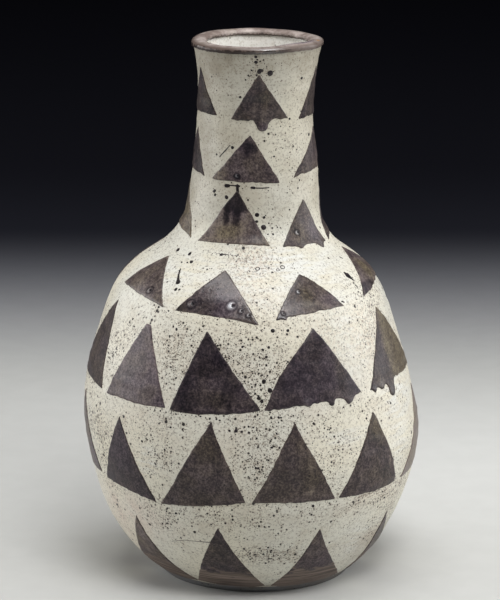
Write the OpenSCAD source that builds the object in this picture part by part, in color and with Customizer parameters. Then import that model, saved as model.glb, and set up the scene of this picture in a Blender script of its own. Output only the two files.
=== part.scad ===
// Stoneware bottle vase. Thrown clay sections meet at bevelled seams, a cream coat with triangular
// windows covers the outside, and iron-glaze triangles sit on the clay in those windows.
// Origin on the ground at the centre of the foot, +Z up, -Y towards the viewer.

/* [Profile] */
// Overall height
vase_h = 380; // [350:1:420]
// Radius of the foot on the ground
foot_r = 68.5; // [60:0.5:71]
// Radius of the body where it leaves the foot
foot_top_r = 72.5; // [70:0.5:80]
// Height of the bare foot
foot_h = 5.5; // [4:0.5:9]
// Radius of the belly at its widest
belly_r = 118; // [110:0.5:128]
// Height of the widest part of the belly
belly_z = 104; // [95:1:114]
// Radius at the shoulder, where the body starts to turn in
shoulder_r = 96.5; // [90:0.5:104]
// Height of the shoulder
shoulder_z = 200; // [190:1:208]
// Radius at the root of the neck
neck_r = 47; // [44:0.5:52]
// Height of the root of the neck
neck_z = 262; // [255:1:272]
// Radius at the waist of the neck
waist_r = 40.3; // [36:0.1:43]
// Distance of the waist below the top of the lip
waist_drop = 38; // [30:1:50]
// Radius of the neck under the lip
mouth_r = 44.4; // [43.5:0.1:48]

/* [Clay] */
// Thickness of the clay wall
wall = 6; // [5:0.25:7.5]
// Thickness of the base slab
slab_t = 8; // [6:0.5:12]
// Width of the foot ring on the ground
foot_w = 12; // [8:0.5:20]
// Rise of a bevelled seam across the wall
seam_rise = 4; // [2:0.5:5]
// Height of the seam between the bowl and the belly
bowl_seam = 55; // [40:1:70]
// Height of the seam between the belly and the shoulder
belly_seam = 152; // [140:1:165]
// Radial width of the rolled lip
lip_w = 8.6; // [7.8:0.2:11]
// Thickness of the rolled lip
lip_t = 4.2; // [3.6:0.2:6]
// Depth of the groove under the lip that the neck sits in
lip_seat = 0.8; // [0.4:0.1:1.4]

/* [Glaze] */
// Thickness of the cream coat
coat_t = 0.8; // [0.5:0.1:1.4]
// Thickness of the glaze inside
liner_t = 0.6; // [0.4:0.1:1.2]
// Thickness of the brown glaze over the lip
lip_glaze_t = 0.6; // [0.4:0.1:1]
// Height of the triangles above the cream coat
iron_rise = 0.3; // [0.1:0.1:0.8]
// Clearance between a triangle and its window
window_gap = 0.1; // [0.05:0.05:0.3]

/* [Bands between the rows] */
// Cream band under the foot row
foot_band = 1.5; // [1:0.5:12]
// Cream band over the foot row
low_band = 22.5; // [14:0.5:30]
// Base line of the lower belly row, below the widest part
belly_drop = 24.5; // [16:0.5:34]
// Cream band between the belly rows
belly_band = 11.5; // [6:0.5:18]
// Base line of the upper belly row, above the widest part
belly_rise = 43; // [34:0.5:50]
// Cream band between the upper belly row and the shoulder row
shoulder_band = 10; // [5:0.5:14]
// Base line of the shoulder row, above the shoulder
shoulder_rise = 7; // [4:0.5:12]
// Height of the shoulder triangles
shoulder_tri_h = 25.5; // [18:0.5:30]
// Cream band between the shoulder row and the neck
collar_band = 14; // [8:0.5:20]
// Cream band between the neck rows
neck_band = 11; // [6:0.5:16]
// Cream band between the neck rows and the top of the lip
rim_band = 18; // [14:0.5:26]

/* [Triangles in the rows] */
// Triangles in the foot row
foot_count = 10; // [6:1:12]
// Triangles in the lower belly row
belly_low_count = 11; // [6:1:14]
// Triangles in the upper belly row
belly_high_count = 10; // [6:1:14]
// Triangles in the shoulder row
shoulder_count = 8; // [6:1:10]
// Triangles in the lowest neck row
neck_low_count = 6; // [5:1:8]
// Triangles in each of the two rows above it
neck_count = 5; // [5:1:7]
// Cream between neighbours on the foot and belly rows
body_space = 6; // [3:0.5:12]
// Cream between neighbours on the shoulder row
shoulder_space = 14; // [6:0.5:20]
// Cream between neighbours on the neck rows
neck_space = 8; // [4:0.5:12]
// Turn of the foot row about the axis
foot_turn = -11; // [-18:1:18]
// Turn of the lower belly row
belly_low_turn = -18; // [-18:1:18]
// Turn of the upper belly row
belly_high_turn = -10; // [-18:1:18]
// Turn of the shoulder row
shoulder_turn = -14; // [-22:1:22]
// Turn of the lowest neck row
neck_low_turn = -15; // [-30:1:30]
// Turn of the middle neck row
neck_middle_turn = -8; // [-36:1:36]
// Turn of the top neck row
neck_top_turn = 4; // [-36:1:36]

/* [Hidden] */
$fn = 128;
// Largest distance between an arc and the chords that stand for it
arc_slack = 0.08;
// Reach of the cutting shapes past the vase
far = 2 * vase_h;

// Heights and the lip's middle
waist_z = vase_h - waist_drop;
slab_z = foot_h + slab_t;
lip_z = vase_h - lip_glaze_t - lip_t / 2;
seat_z = lip_z - lip_t / 2 + lip_seat;
// Level distance over which a bevelled seam climbs, enough to cross the wall where it leans most
seam_run = coat_t + 2 * wall;

// The outline is a chain of tangent arcs. An arc that leaves the upright at one station and has drifted
// sideways by a over a height of b has this radius.
function sweep(a, b) = (a * a + b * b) / (2 * a);
bowl = sweep(belly_r - foot_top_r, belly_z - foot_h);
body = sweep(belly_r - shoulder_r, shoulder_z - belly_z);
neck = sweep(neck_r - waist_r, waist_z - neck_z);
flare = sweep(mouth_r - waist_r, lip_z - waist_z);

// Angle of the surface's normal above level, at each station
foot_lean = -asin((belly_z - foot_h + 2 * coat_t) / bowl);
shoulder_lean = asin((shoulder_z - belly_z) / body);
neck_lean = asin((waist_z - neck_z) / neck);
mouth_lean = -asin((lip_z - waist_z) / flare);

// Two arcs with tangents of one length join the shoulder to the neck
function normal_at(lean) = [cos(lean), sin(lean)];
function tangent_at(lean) = [-sin(lean), cos(lean)];
shoulder_at = [shoulder_r, shoulder_z];
neck_at = [neck_r, neck_z];
span = neck_at - shoulder_at;
along = span * (tangent_at(shoulder_lean) + tangent_at(neck_lean));
spread = 2 * (1 - tangent_at(shoulder_lean) * tangent_at(neck_lean));
reach = (sqrt(along * along + spread * (span * span)) - along) / spread;
slope = span - reach * (tangent_at(shoulder_lean) + tangent_at(neck_lean));
steep_lean = atan2(-slope[0], slope[1]);
shoulder = reach / tan((steep_lean - shoulder_lean) / 2);
collar = reach / tan((steep_lean - neck_lean) / 2);

// Each arc: its centre, its radius (below zero where the surface is hollow), its first and last lean
arcs = [
    [[belly_r - bowl, belly_z], bowl, foot_lean, 0],
    [[belly_r - body, belly_z], body, 0, shoulder_lean],
    [shoulder_at - shoulder * normal_at(shoulder_lean), shoulder, shoulder_lean, steep_lean],
    [neck_at + collar * normal_at(neck_lean), -collar, steep_lean, neck_lean],
    [[waist_r + neck, waist_z], -neck, neck_lean, 0],
    [[waist_r + flare, waist_z], -flare, 0, mouth_lean]
];

// Point a share of the way along an arc, set in from the surface
function arc_point(a, share, inset) =
    a[0] + (a[1] - inset) * normal_at(a[2] + share * (a[3] - a[2]));
function arc_steps(a) = ceil(abs(a[3] - a[2]) / (2 * acos(1 - arc_slack / abs(a[1]))));
// The whole outline from foot to lip, set in from the surface
function skin(inset) = concat(
    [for (a = arcs, i = [0 : arc_steps(a) - 1]) arc_point(a, i / arc_steps(a), inset)],
    [arc_point(arcs[len(arcs) - 1], 1, inset)]);
function reversed(list) = [for (i = [len(list) - 1 : -1 : 0]) list[i]];
// Radius of the surface at a height
function arc_top(a) = a[0][1] + a[1] * sin(a[3]);
function skin_r(z) =
    let (over = [for (a = arcs) if (z <= arc_top(a)) a])
    let (a = len(over) > 0 ? over[0] : arcs[len(arcs) - 1])
    a[0][0] + sign(a[1]) * sqrt(a[1] * a[1] - (z - a[0][1]) * (z - a[0][1]));

// Base lines and apexes of the rows
foot_base = foot_h + foot_band;
belly_low_base = belly_z - belly_drop;
belly_high_base = belly_z + belly_rise;
shoulder_base = shoulder_z + shoulder_rise;
neck_base = shoulder_base + shoulder_tri_h + collar_band;
neck_tri_h = (vase_h - rim_band - neck_base - 2 * neck_band) / 3;
neck_pitch = neck_tri_h + neck_band;

// Each row: base line, apex, triangles around it, cream between neighbours, turn about the axis
foot_row = [foot_base, belly_low_base - low_band, foot_count, body_space, foot_turn];
belly_low_row = [belly_low_base, belly_high_base - belly_band, belly_low_count, body_space, belly_low_turn];
belly_high_row = [belly_high_base, shoulder_base - shoulder_band, belly_high_count, body_space, belly_high_turn];
shoulder_row = [shoulder_base, shoulder_base + shoulder_tri_h, shoulder_count, shoulder_space, shoulder_turn];
neck_low_row = [neck_base, neck_base + neck_tri_h, neck_low_count, neck_space, neck_low_turn];
neck_middle_row = [neck_base + neck_pitch, neck_base + neck_pitch + neck_tri_h,
    neck_count, neck_space, neck_middle_turn];
neck_top_row = [neck_base + 2 * neck_pitch, neck_base + 2 * neck_pitch + neck_tri_h,
    neck_count, neck_space, neck_top_turn];
rows = [foot_row, belly_low_row, belly_high_row, shoulder_row, neck_low_row, neck_middle_row, neck_top_row];

// Colours
clay = "#8d8176";
cream = "#d3cfc3";
iron = "#3a302e";
brown = "#7d6a66";

// Half section between two depths below the surface
module band(outer, inner) {
    polygon(concat(skin(outer), reversed(skin(inner))));
}

// Half section of everything inside a depth below the surface
module core(inset) {
    edge = skin(inset);
    polygon(concat([[0, edge[0][1]]], edge, [[0, edge[len(edge) - 1][1]]]));
}

// A seam that meets the surface at a height and climbs inwards across the wall
function seam(z, rise) =
    rise == 0 ? [[0, z], [far, z]] : [[0, z + rise], [skin_r(z) - seam_run, z + rise], [skin_r(z), z], [far, z]];

// Everything above a seam
module above(z, rise = 0) {
    polygon(concat(seam(z, rise), [[far, far], [0, far]]));
}

// Everything below a seam
module below(z, rise = 0) {
    polygon(concat(seam(z, rise), [[far, -far], [0, -far]]));
}

// Section of the flattened lip coil, grown by a layer
module roll(grow = 0) {
    translate([skin_r(seat_z) - coat_t - wall / 2, lip_z]) {
        square([lip_w - lip_t, lip_t + 2 * grow], center = true);
        for (side = [-1, 1])
            translate([side * (lip_w - lip_t) / 2, 0])
                circle(r = lip_t / 2 + grow);
    }
}

// Half section of the whole clay wall
module wall_section() {
    band(coat_t, coat_t + wall);
}

// One course of the wall: a ring of clay between two bevelled seams
module course(low, high, low_rise = seam_rise, high_rise = seam_rise) {
    color(clay)
        rotate_extrude()
            intersection() {
                wall_section();
                above(low, low_rise);
                below(high, high_rise);
            }
}

// One triangle of a row, seen from outside, with each edge moved out by a clearance
module triangle(row, grow) {
    height = row[1] - row[0];
    half = skin_r(row[0]) * sin(180 / row[2]) - row[3] / 2;
    edge = sqrt(half * half + height * height);
    foot_half = half * (1 + grow / height) + grow * edge / height;
    polygon([[-foot_half, row[0] - grow], [foot_half, row[0] - grow], [0, row[1] + grow * edge / half]]);
}

// Distance from the axis, inside the wall, where the prisms of a row start
function prism_start(row) = min(skin_r(row[0]) * cos(180 / row[2]), skin_r(row[1])) - coat_t - wall;

// The triangles of a row, each driven straight out through the wall
module row_prisms(row, grow = 0) {
    for (i = [0 : row[2] - 1])
        rotate([90, 0, row[4] + 360 * i / row[2]])
            translate([0, 0, prism_start(row)])
                linear_extrude(height = far)
                    triangle(row, grow);
}

// A row of iron-glaze triangles: they sit on the clay and stand a little above the cream
module iron_row(row) {
    color(iron)
        intersection() {
            rotate_extrude()
                intersection() {
                    band(-iron_rise, coat_t);
                    above(row[0] - coat_t);
                    below(row[1] + coat_t);
                }
            row_prisms(row);
        }
}

module foot_ring() {
    color(clay)
        rotate_extrude()
            polygon([[foot_r - foot_w, 0], [foot_r, 0], [foot_top_r, foot_h], [foot_r - foot_w, foot_h]]);
}

module base_slab() {
    color(clay)
        rotate_extrude()
            intersection() {
                core(coat_t);
                above(foot_h);
                below(slab_z);
            }
}

module bowl_wall() {
    course(slab_z, bowl_seam, low_rise = 0);
}

module low_belly_wall() {
    course(bowl_seam, belly_z);
}

module high_belly_wall() {
    course(belly_z, belly_seam);
}

module shoulder_wall() {
    course(belly_seam, shoulder_z);
}

module collar_wall() {
    course(shoulder_z, neck_z);
}

module neck_wall() {
    course(neck_z, seat_z, high_rise = 0);
}

module lip_roll() {
    color(clay)
        rotate_extrude()
            difference() {
                roll();
                intersection() {
                    wall_section();
                    below(seat_z);
                }
            }
}

module liner_glaze() {
    color(cream)
        rotate_extrude()
            difference() {
                intersection() {
                    core(coat_t + wall);
                    above(slab_z);
                }
                intersection() {
                    core(coat_t + wall + liner_t);
                    above(slab_z + liner_t);
                }
                roll(lip_glaze_t);
            }
}

module cream_coat() {
    color(cream)
        difference() {
            rotate_extrude()
                difference() {
                    intersection() {
                        band(0, coat_t);
                        above(foot_h);
                    }
                    roll(lip_glaze_t);
                }
            for (row = rows)
                row_prisms(row, window_gap);
        }
}

module lip_glaze() {
    color(brown)
        rotate_extrude()
            difference() {
                roll(lip_glaze_t);
                roll();
                intersection() {
                    wall_section();
                    below(seat_z);
                }
            }
}

module neck_top_triangles() {
    iron_row(neck_top_row);
}

module neck_middle_triangles() {
    iron_row(neck_middle_row);
}

module neck_low_triangles() {
    iron_row(neck_low_row);
}

module shoulder_triangles() {
    iron_row(shoulder_row);
}

module belly_high_triangles() {
    iron_row(belly_high_row);
}

module belly_low_triangles() {
    iron_row(belly_low_row);
}

module foot_triangles() {
    iron_row(foot_row);
}

foot_ring();
base_slab();
bowl_wall();
low_belly_wall();
high_belly_wall();
shoulder_wall();
collar_wall();
neck_wall();
lip_roll();
liner_glaze();
cream_coat();
lip_glaze();
neck_top_triangles();
neck_middle_triangles();
neck_low_triangles();
shoulder_triangles();
belly_high_triangles();
belly_low_triangles();
foot_triangles();
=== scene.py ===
import math
import bmesh
import bpy
import numpy as np
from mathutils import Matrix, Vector, geometry


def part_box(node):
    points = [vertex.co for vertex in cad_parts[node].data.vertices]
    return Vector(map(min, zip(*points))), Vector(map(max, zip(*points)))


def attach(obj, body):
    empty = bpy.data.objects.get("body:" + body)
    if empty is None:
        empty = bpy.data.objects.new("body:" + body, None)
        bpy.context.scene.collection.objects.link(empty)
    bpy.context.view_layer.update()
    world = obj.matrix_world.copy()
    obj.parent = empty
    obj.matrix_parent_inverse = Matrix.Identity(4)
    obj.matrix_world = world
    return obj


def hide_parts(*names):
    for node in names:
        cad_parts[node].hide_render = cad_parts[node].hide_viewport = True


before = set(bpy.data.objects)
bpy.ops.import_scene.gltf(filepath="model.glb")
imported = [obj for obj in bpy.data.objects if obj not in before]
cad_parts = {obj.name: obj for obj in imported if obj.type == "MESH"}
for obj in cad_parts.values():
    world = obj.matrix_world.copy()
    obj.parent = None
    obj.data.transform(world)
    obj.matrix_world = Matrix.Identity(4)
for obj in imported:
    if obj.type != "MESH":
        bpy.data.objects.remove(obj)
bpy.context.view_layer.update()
mm = 0.001  # sizes are in millimetres and azimuths run from the front towards +X, until a mesh is made
print("frame:", len(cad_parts), "clay and glaze nodes")


# The wall: the frame's own outline, and how the thrown pot departs from it (height, then how far)
wallForm = {
    "step": 0.5,  # between the heights where the outline is kept
    "soften": 2.5,  # reach of the smoothing up and down the wall
    "outward": 0.3,  # a point of the coat that faces out at least this much is on the outline
    "swell": [(6, 0), (12, 1.2), (20, 1.4), (38, 0), (80, -1.2), (105, 0.6), (130, 0), (175, -1.3),
              (197, 0), (212, 0.8), (242, 0.4), (256, -0.9), (280, 0.3), (300, 0.3), (322, -0.4), (345, 0),
              (380, 0.1)],
    "leanRight": [(0, 2.4), (40, 0.6), (80, 0.7), (105, -0.3), (130, -2.8), (160, -3.6), (190, -3.0),
                  (212, -3.5), (230, -2.0), (260, 0.7), (300, 1.9), (320, 2.1), (345, 2.9), (380, 4.0)],
    "leanBack": [(0, 0), (110, 1.4), (190, -0.8), (290, 0.9), (380, -0.6)],
    "curveTop": 400, "curveSoften": 7,  # the three curves run up to here, smoothed
    "stillCore": 30,  # nearer the axis than this, the wall's swelling fades out
    "rimStart": 330, "rimRise": 1.3,  # the wall above this height is lifted at the rim,
    "rimWave": 0.75, "rimTurn": -1.18,  # more and less by turns, twice round,
    "rimBumps": [(37, 17, 1.5), (-113, 22, 1.2)],  # and still more at these: azimuth, half width, height
    # Waves that go round the wall: seed, how many, most turns, shortest and longest rise, size
    "lumps": (11, 9, 4, (60, 190), 0.12),
    "rings": (12, 10, 1, (6, 15), 0.028),
    "brush": (13, 12, 26, (5, 18), 0.012),
}


def soften(values, reach, wrap=False):
    half = int(3 * reach) + 1
    kernel = np.exp(-0.5 * (np.arange(-half, half + 1) / reach) ** 2)
    if wrap:
        padded = np.pad(values, half, mode="wrap")
    else:
        padded = np.pad(values, half, mode="reflect", reflect_type="odd")
    return np.convolve(padded, kernel / kernel.sum(), mode="valid")


def bell(ratio):
    return np.exp(-ratio ** 2)


def fullTurn(count):
    return np.arange(count) * 2 * np.pi / count


# How far along a line each of its points lies
def runLength(line):
    return np.concatenate(([0], np.cumsum(np.hypot(*np.diff(line, axis=0).T))))


def readMesh(name, what):
    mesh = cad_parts[name].data
    values = np.zeros(len(mesh.vertices) * 3, np.float32)
    mesh.vertices.foreach_get(what, values)
    return values.reshape(-1, 3).astype(float)


# A node's points, and how far each is from the axis
def nodePoints(name):
    points = readMesh(name, "co") / mm
    return points, np.hypot(points[:, 0], points[:, 1])


def readOutline():
    points, radius = nodePoints("cream_coat")
    normals = readMesh("cream_coat", "normal")
    outside = (points[:, :2] * normals[:, :2]).sum(1) > wallForm["outward"] * radius
    step = wallForm["step"]
    heights = np.arange(points[:, 2].min(), points[:, 2].max() + step, step)
    slices = np.round((points[outside, 2] - heights[0]) / step).astype(int)
    widest = np.zeros(len(heights))
    np.maximum.at(widest, slices, radius[outside])
    found = np.nonzero(widest)[0]
    line = np.interp(np.arange(len(heights)), found, widest[found])
    return heights, soften(line, wallForm["soften"] / step)


outlineHeights, outlineRadius = readOutline()
outlineLean = np.arctan(-np.gradient(outlineRadius, outlineHeights))  # of the surface's normal, above level
outlineLength = runLength(np.column_stack((outlineHeights, outlineRadius)))
levels = np.arange(wallForm["curveTop"] + 1)


# A curve through knots of place and value
def readCurve(knots, at):
    return np.interp(at, *np.array(knots, float).T)


def drawCurve(name):
    return soften(readCurve(wallForm[name], levels), wallForm["curveSoften"])


swell, leanRight, leanBack = (drawCurve(name) for name in ("swell", "leanRight", "leanBack"))


def makeWaves(seed, count, turns, rise, size):
    draw = np.random.default_rng(seed)
    return [(draw.integers(-turns, turns + 1), 2 * np.pi / draw.uniform(*rise), draw.uniform(0, 2 * np.pi),
             size) for _ in range(count)]


wallWaves = [wave for label in ("lumps", "rings", "brush") for wave in makeWaves(*wallForm[label])]


def ripple(waves, azimuth, height):
    return sum(size * np.cos(turns * azimuth + rate * height + phase) for turns, rate, phase, size in waves)


def wallRadius(height):
    return np.interp(height, outlineHeights, outlineRadius)


def wallLength(height):
    return np.interp(height, outlineHeights, outlineLength)


def wallHeight(length):
    return np.interp(length, outlineLength, outlineHeights)


def turnBetween(first, second):
    return (first - second + np.pi) % (2 * np.pi) - np.pi


# Moves points of the exact vase to where the thrown one has them
def settle(points):
    x, y, z = points.T
    azimuth, radius = np.arctan2(x, -y), np.hypot(x, y)
    grow = np.interp(z, levels, swell) + ripple(wallWaves, azimuth, z)
    radius = radius + grow * np.clip(radius / wallForm["stillCore"], 0, 1)
    rise = wallForm["rimRise"] + wallForm["rimWave"] * np.cos(2 * azimuth + wallForm["rimTurn"])
    for at, wide, high in wallForm["rimBumps"]:
        rise = rise + high * bell((np.degrees(azimuth) - at) / wide)
    nearRim = np.clip((z - wallForm["rimStart"]) / (levels[-1] - wallForm["rimStart"]), 0, 1) ** 2
    return np.column_stack((radius * np.sin(azimuth) + np.interp(z, levels, leanRight),
                            -radius * np.cos(azimuth) + np.interp(z, levels, leanBack), z + nearRim * rise))


def polar(azimuth, radius, height):
    return np.column_stack((radius * np.sin(azimuth), -radius * np.cos(azimuth), height))


# Radius and height of places on the outline, lifted off it
def lifted(height, lift):
    lean = np.interp(height, outlineHeights, outlineLean)
    return wallRadius(height) + lift * np.cos(lean), height + lift * np.sin(lean)


def onWall(azimuth, height, lift):
    return settle(polar(azimuth, *lifted(height, lift)))


# A line along the outline, lifted off it, as points of a half section
def wallLine(low, high, count, lift):
    return np.column_stack(lifted(np.linspace(low, high, count), lift))


# Four-sided faces between rings of points
def ringFaces(below, above):
    corners = (below, np.roll(below, -1, 1), np.roll(above, -1, 1), above)
    return np.stack(corners, -1).reshape(-1, 4).tolist()


# Turns a half section, anticlockwise, into a closed ring, or into a cup where its ends are on the axis
def turn(section, steps, fromAxis=False):
    section = np.array(section, float)
    ringed = section[1:-1] if fromAxis else section
    points = polar(np.tile(fullTurn(steps), len(ringed)), *np.repeat(ringed, steps, axis=0).T)
    rows = np.arange(len(ringed) * steps).reshape(-1, steps)
    below, above = (rows[:-1], rows[1:]) if fromAxis else (rows, np.roll(rows, -1, 0))
    faces = ringFaces(below, above)
    if fromAxis:
        ends = [len(points), len(points) + 1]
        points = np.vstack((points, (0, 0, section[0, 1]), (0, 0, section[-1, 1])))
        first, last = rows[0].tolist(), rows[-1].tolist()
        faces += [[ends[0], first[(i + 1) % steps], first[i]] for i in range(steps)]
        faces += [[ends[1], last[i], last[(i + 1) % steps]] for i in range(steps)]
    return points, faces


# A new piece of the vase, with values painted on its points for its material
def addPiece(name, points, faces, material, slot, replaced=(), sharp=None, **shades):
    mesh = bpy.data.meshes.new(name)
    mesh.from_pydata((points * mm).tolist(), [], faces)
    mesh.shade_smooth()
    if sharp:
        mesh.set_sharp_from_angle(angle=math.radians(sharp))
    for label, values in shades.items():
        layer = mesh.attributes.new(label, "FLOAT", "POINT")
        layer.data.foreach_set("value", np.asarray(values, np.float32))
    mesh.materials.append(material)
    piece = bpy.data.objects.new(name, mesh)
    bpy.context.scene.collection.objects.link(piece)
    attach(piece, "root")
    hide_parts(*replaced)
    return piece


# Joins many small meshes, with their painted values, into one
def gather(parts):
    starts = np.cumsum([0] + [len(points) for points, faces, shades in parts]).tolist()
    faces = [[start + k for k in face] for start, part in zip(starts, parts) for face in part[1]]
    shades = {label: np.concatenate([part[2][label] for part in parts]) for label in parts[0][2]}
    return np.vstack([part[0] for part in parts]), faces, shades


# Small helpers for materials
def put(tree, kind, inputs=None, **settings):
    made = tree.nodes.new("ShaderNode" + kind)
    for key, value in settings.items():
        setattr(made, key, value)
    for key, value in (inputs or {}).items():
        if isinstance(value, bpy.types.NodeSocket):
            tree.links.new(value, made.inputs[key])
        else:
            made.inputs[key].default_value = value
    return made


def startMaterial(name):
    material = bpy.data.materials.new(name)
    material.use_nodes = True
    tree = material.node_tree
    return material, tree, tree.nodes["Principled BSDF"]


def place(tree, stretch=(1, 1, 1)):
    spot = put(tree, "TexCoord").outputs["Object"]
    return put(tree, "Mapping", {"Vector": spot, "Scale": stretch}).outputs["Vector"]


def grain(tree, where, scale, detail=3, roughness=0.55):
    return put(tree, "TexNoise", {"Vector": where, "Scale": scale, "Detail": detail,
                                  "Roughness": roughness}).outputs["Fac"]


# A look's noises by name: cells per metre, detail, roughness and, for drawn-out ones, their stretch
def makeGrains(tree, where, look):
    made = {}
    for label, (scale, detail, roughness, *stretch) in look["grains"].items():
        made[label] = grain(tree, place(tree, *stretch) if stretch else where, scale, detail, roughness)
    return made


def spread(tree, value, low, high, outLow=0, outHigh=1):
    return put(tree, "MapRange", {"Value": value, "From Min": low, "From Max": high, "To Min": outLow,
                                  "To Max": outHigh}, interpolation_type="SMOOTHSTEP").outputs["Result"]


def calc(tree, operation, *values, clamp=False):
    return put(tree, "Math", dict(enumerate(values)), operation=operation, use_clamp=clamp).outputs[0]


def times(tree, first, second):
    return calc(tree, "MULTIPLY", first, second)


def tint(tree, factor, low, high, mode="MIX"):
    low, high = ((*c, 1) if isinstance(c, tuple) else c for c in (low, high))
    return put(tree, "Mix", {0: factor, 6: low, 7: high}, data_type="RGBA", blend_type=mode).outputs[2]


# Lays a look's layers over a colour: each is a noise, where in it the layer comes in, and the layer's colour
def layOver(tree, look, colour, grains):
    for label, limits, shade in look["layers"]:
        colour = tint(tree, spread(tree, grains[label], *limits), colour, look[shade])
    return colour


def ramp(tree, value, stops):
    made = put(tree, "ValToRGB", {0: value})
    marks = made.color_ramp.elements
    for at, colour in stops[1:-1]:
        marks.new(at)
    for mark, (at, colour) in zip(marks, stops):
        mark.color = (*colour, 1)
    return made.outputs["Color"]


def painted(tree, label):
    return put(tree, "Attribute", attribute_name=label).outputs["Fac"]


def raiseBump(tree, shader, height, distance, strength):
    bump = put(tree, "Bump", {"Height": height, "Distance": distance, "Strength": strength})
    feed(tree, shader, {"Normal": bump.outputs["Normal"]})


def feed(tree, shader, sockets):
    for label, value in sockets.items():
        tree.links.new(value, shader.inputs[label])


# Round iron specks: the range of their size and, in radii, where the core and the halo fade in
speckLook = {"size": (0.45, 1.15), "core": (1.15, 0.75), "halo": (2.6, 0.9)}


# One layer of specks: a cell holds one where its draw is under the density
def speckLayer(tree, where, scale, radius, density):
    cells = put(tree, "TexVoronoi", {"Vector": where, "Scale": scale, "Randomness": 1.0})
    draws = put(tree, "SeparateColor", {"Color": cells.outputs["Color"]})
    held = calc(tree, "LESS_THAN", draws.outputs["Red"], density)
    reach = times(tree, spread(tree, draws.outputs["Green"], 0, 1, *speckLook["size"]), radius * scale)
    ratio = calc(tree, "DIVIDE", cells.outputs["Distance"], reach)
    return [times(tree, spread(tree, ratio, *speckLook[part]), held) for part in ("core", "halo")]


# Cream coat: brushed slip under a satin glaze, with iron that bleeds through as specks
creamLook = {
    "warm": (0.768, 0.728, 0.600),
    "cool": (0.718, 0.705, 0.622),
    "worn": (0.595, 0.530, 0.420),
    "thinAndShade": (0.305, 0.272, 0.206),  # where the clay shows through, and painted shade
    "dust": (0.190, 0.150, 0.115),  # fine grain of ash
    "speck": (0.015, 0.011, 0.010),
    "halo": (0.34, 0.27, 0.20), "haloStrength": 0.22,
    "bloom": (0.62, 0.49, 0.37),
    "blush": (0.690, 0.595, 0.510),
    # chalk white, which also serves as a painted sheen on the shoulder's front
    "chalkAndSheen": (0.800, 0.805, 0.765),
    "grains": {
        "fields": (13, 2, 0.55), "patches": (55, 4, 0.6), "dust": (600, 3, 0.75), "clusters": (95, 3, 0.55),
        "blots": (420, 2, 0.55), "breaks": (700, 3, 0.55), "streaks": (9, 4, 0.65, (6, 6, 70)),
        "lines": (1, 2, 0.55, (55, 55, 760)), "sweeps": (1, 3, 0.55, (40, 40, 260)),
    },
    "layers": [("fields", (0.36, 0.64), "cool"), ("patches", (0.50, 0.76, 0, 0.5), "worn"),
               ("streaks", (0.50, 0.75, 0, 0.25), "worn")],
    # Layers that are painted on as well, by the name of paint and colour
    "painted": {"blush": ("patches", (0.35, 0.6, 0.4, 1)), "chalkAndSheen": ("sweeps", (0.42, 0.58)),
                "thinAndShade": ("patches", (0.3, 0.7, 0.8, 1.2)), "bloom": ("blots", (0.42, 0.62, 0, 0.55))},
    "lines": (0.50, 0.60), "breaks": (0.42, 0.58),  # of the dry brush
    "dusty": (0.51, 0.62), "ash": 0.38,  # ash, and more of it on the thin and painted-shade, speckled and blooming
    "ashThinAndShade": 0.25, "ashSpeckle": 0.30, "ashBloom": 0.35,
    "shake": 0.0003, "shakeScale": 900.0,  # unevenness of the specks' edges
    "clusters": (0.30, 0.66, 0.35, 1.25),
    # Specks: cells per metre, radius in metres, share of the cells
    "specks": [(900, 0.00034, 0.65), (620, 0.00048, 0.80), (360, 0.00076, 0.80), (170, 0.00110, 0.48)],
    "pepper": [(820, 0.00028, 1.0), (450, 0.00040, 0.8)],  # and of the finest, which are everywhere,
    "pepperShare": 0.17, "pepperBloom": 0.45,  # and more of them on the blooms
    "relief": {"dust": 0.6, "streaks": 0.25, "cores": -0.35},
    "bump": (0.0006, 0.40),
    "rough": (0.3, 0.7, 0.38, 0.54),
}


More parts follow.
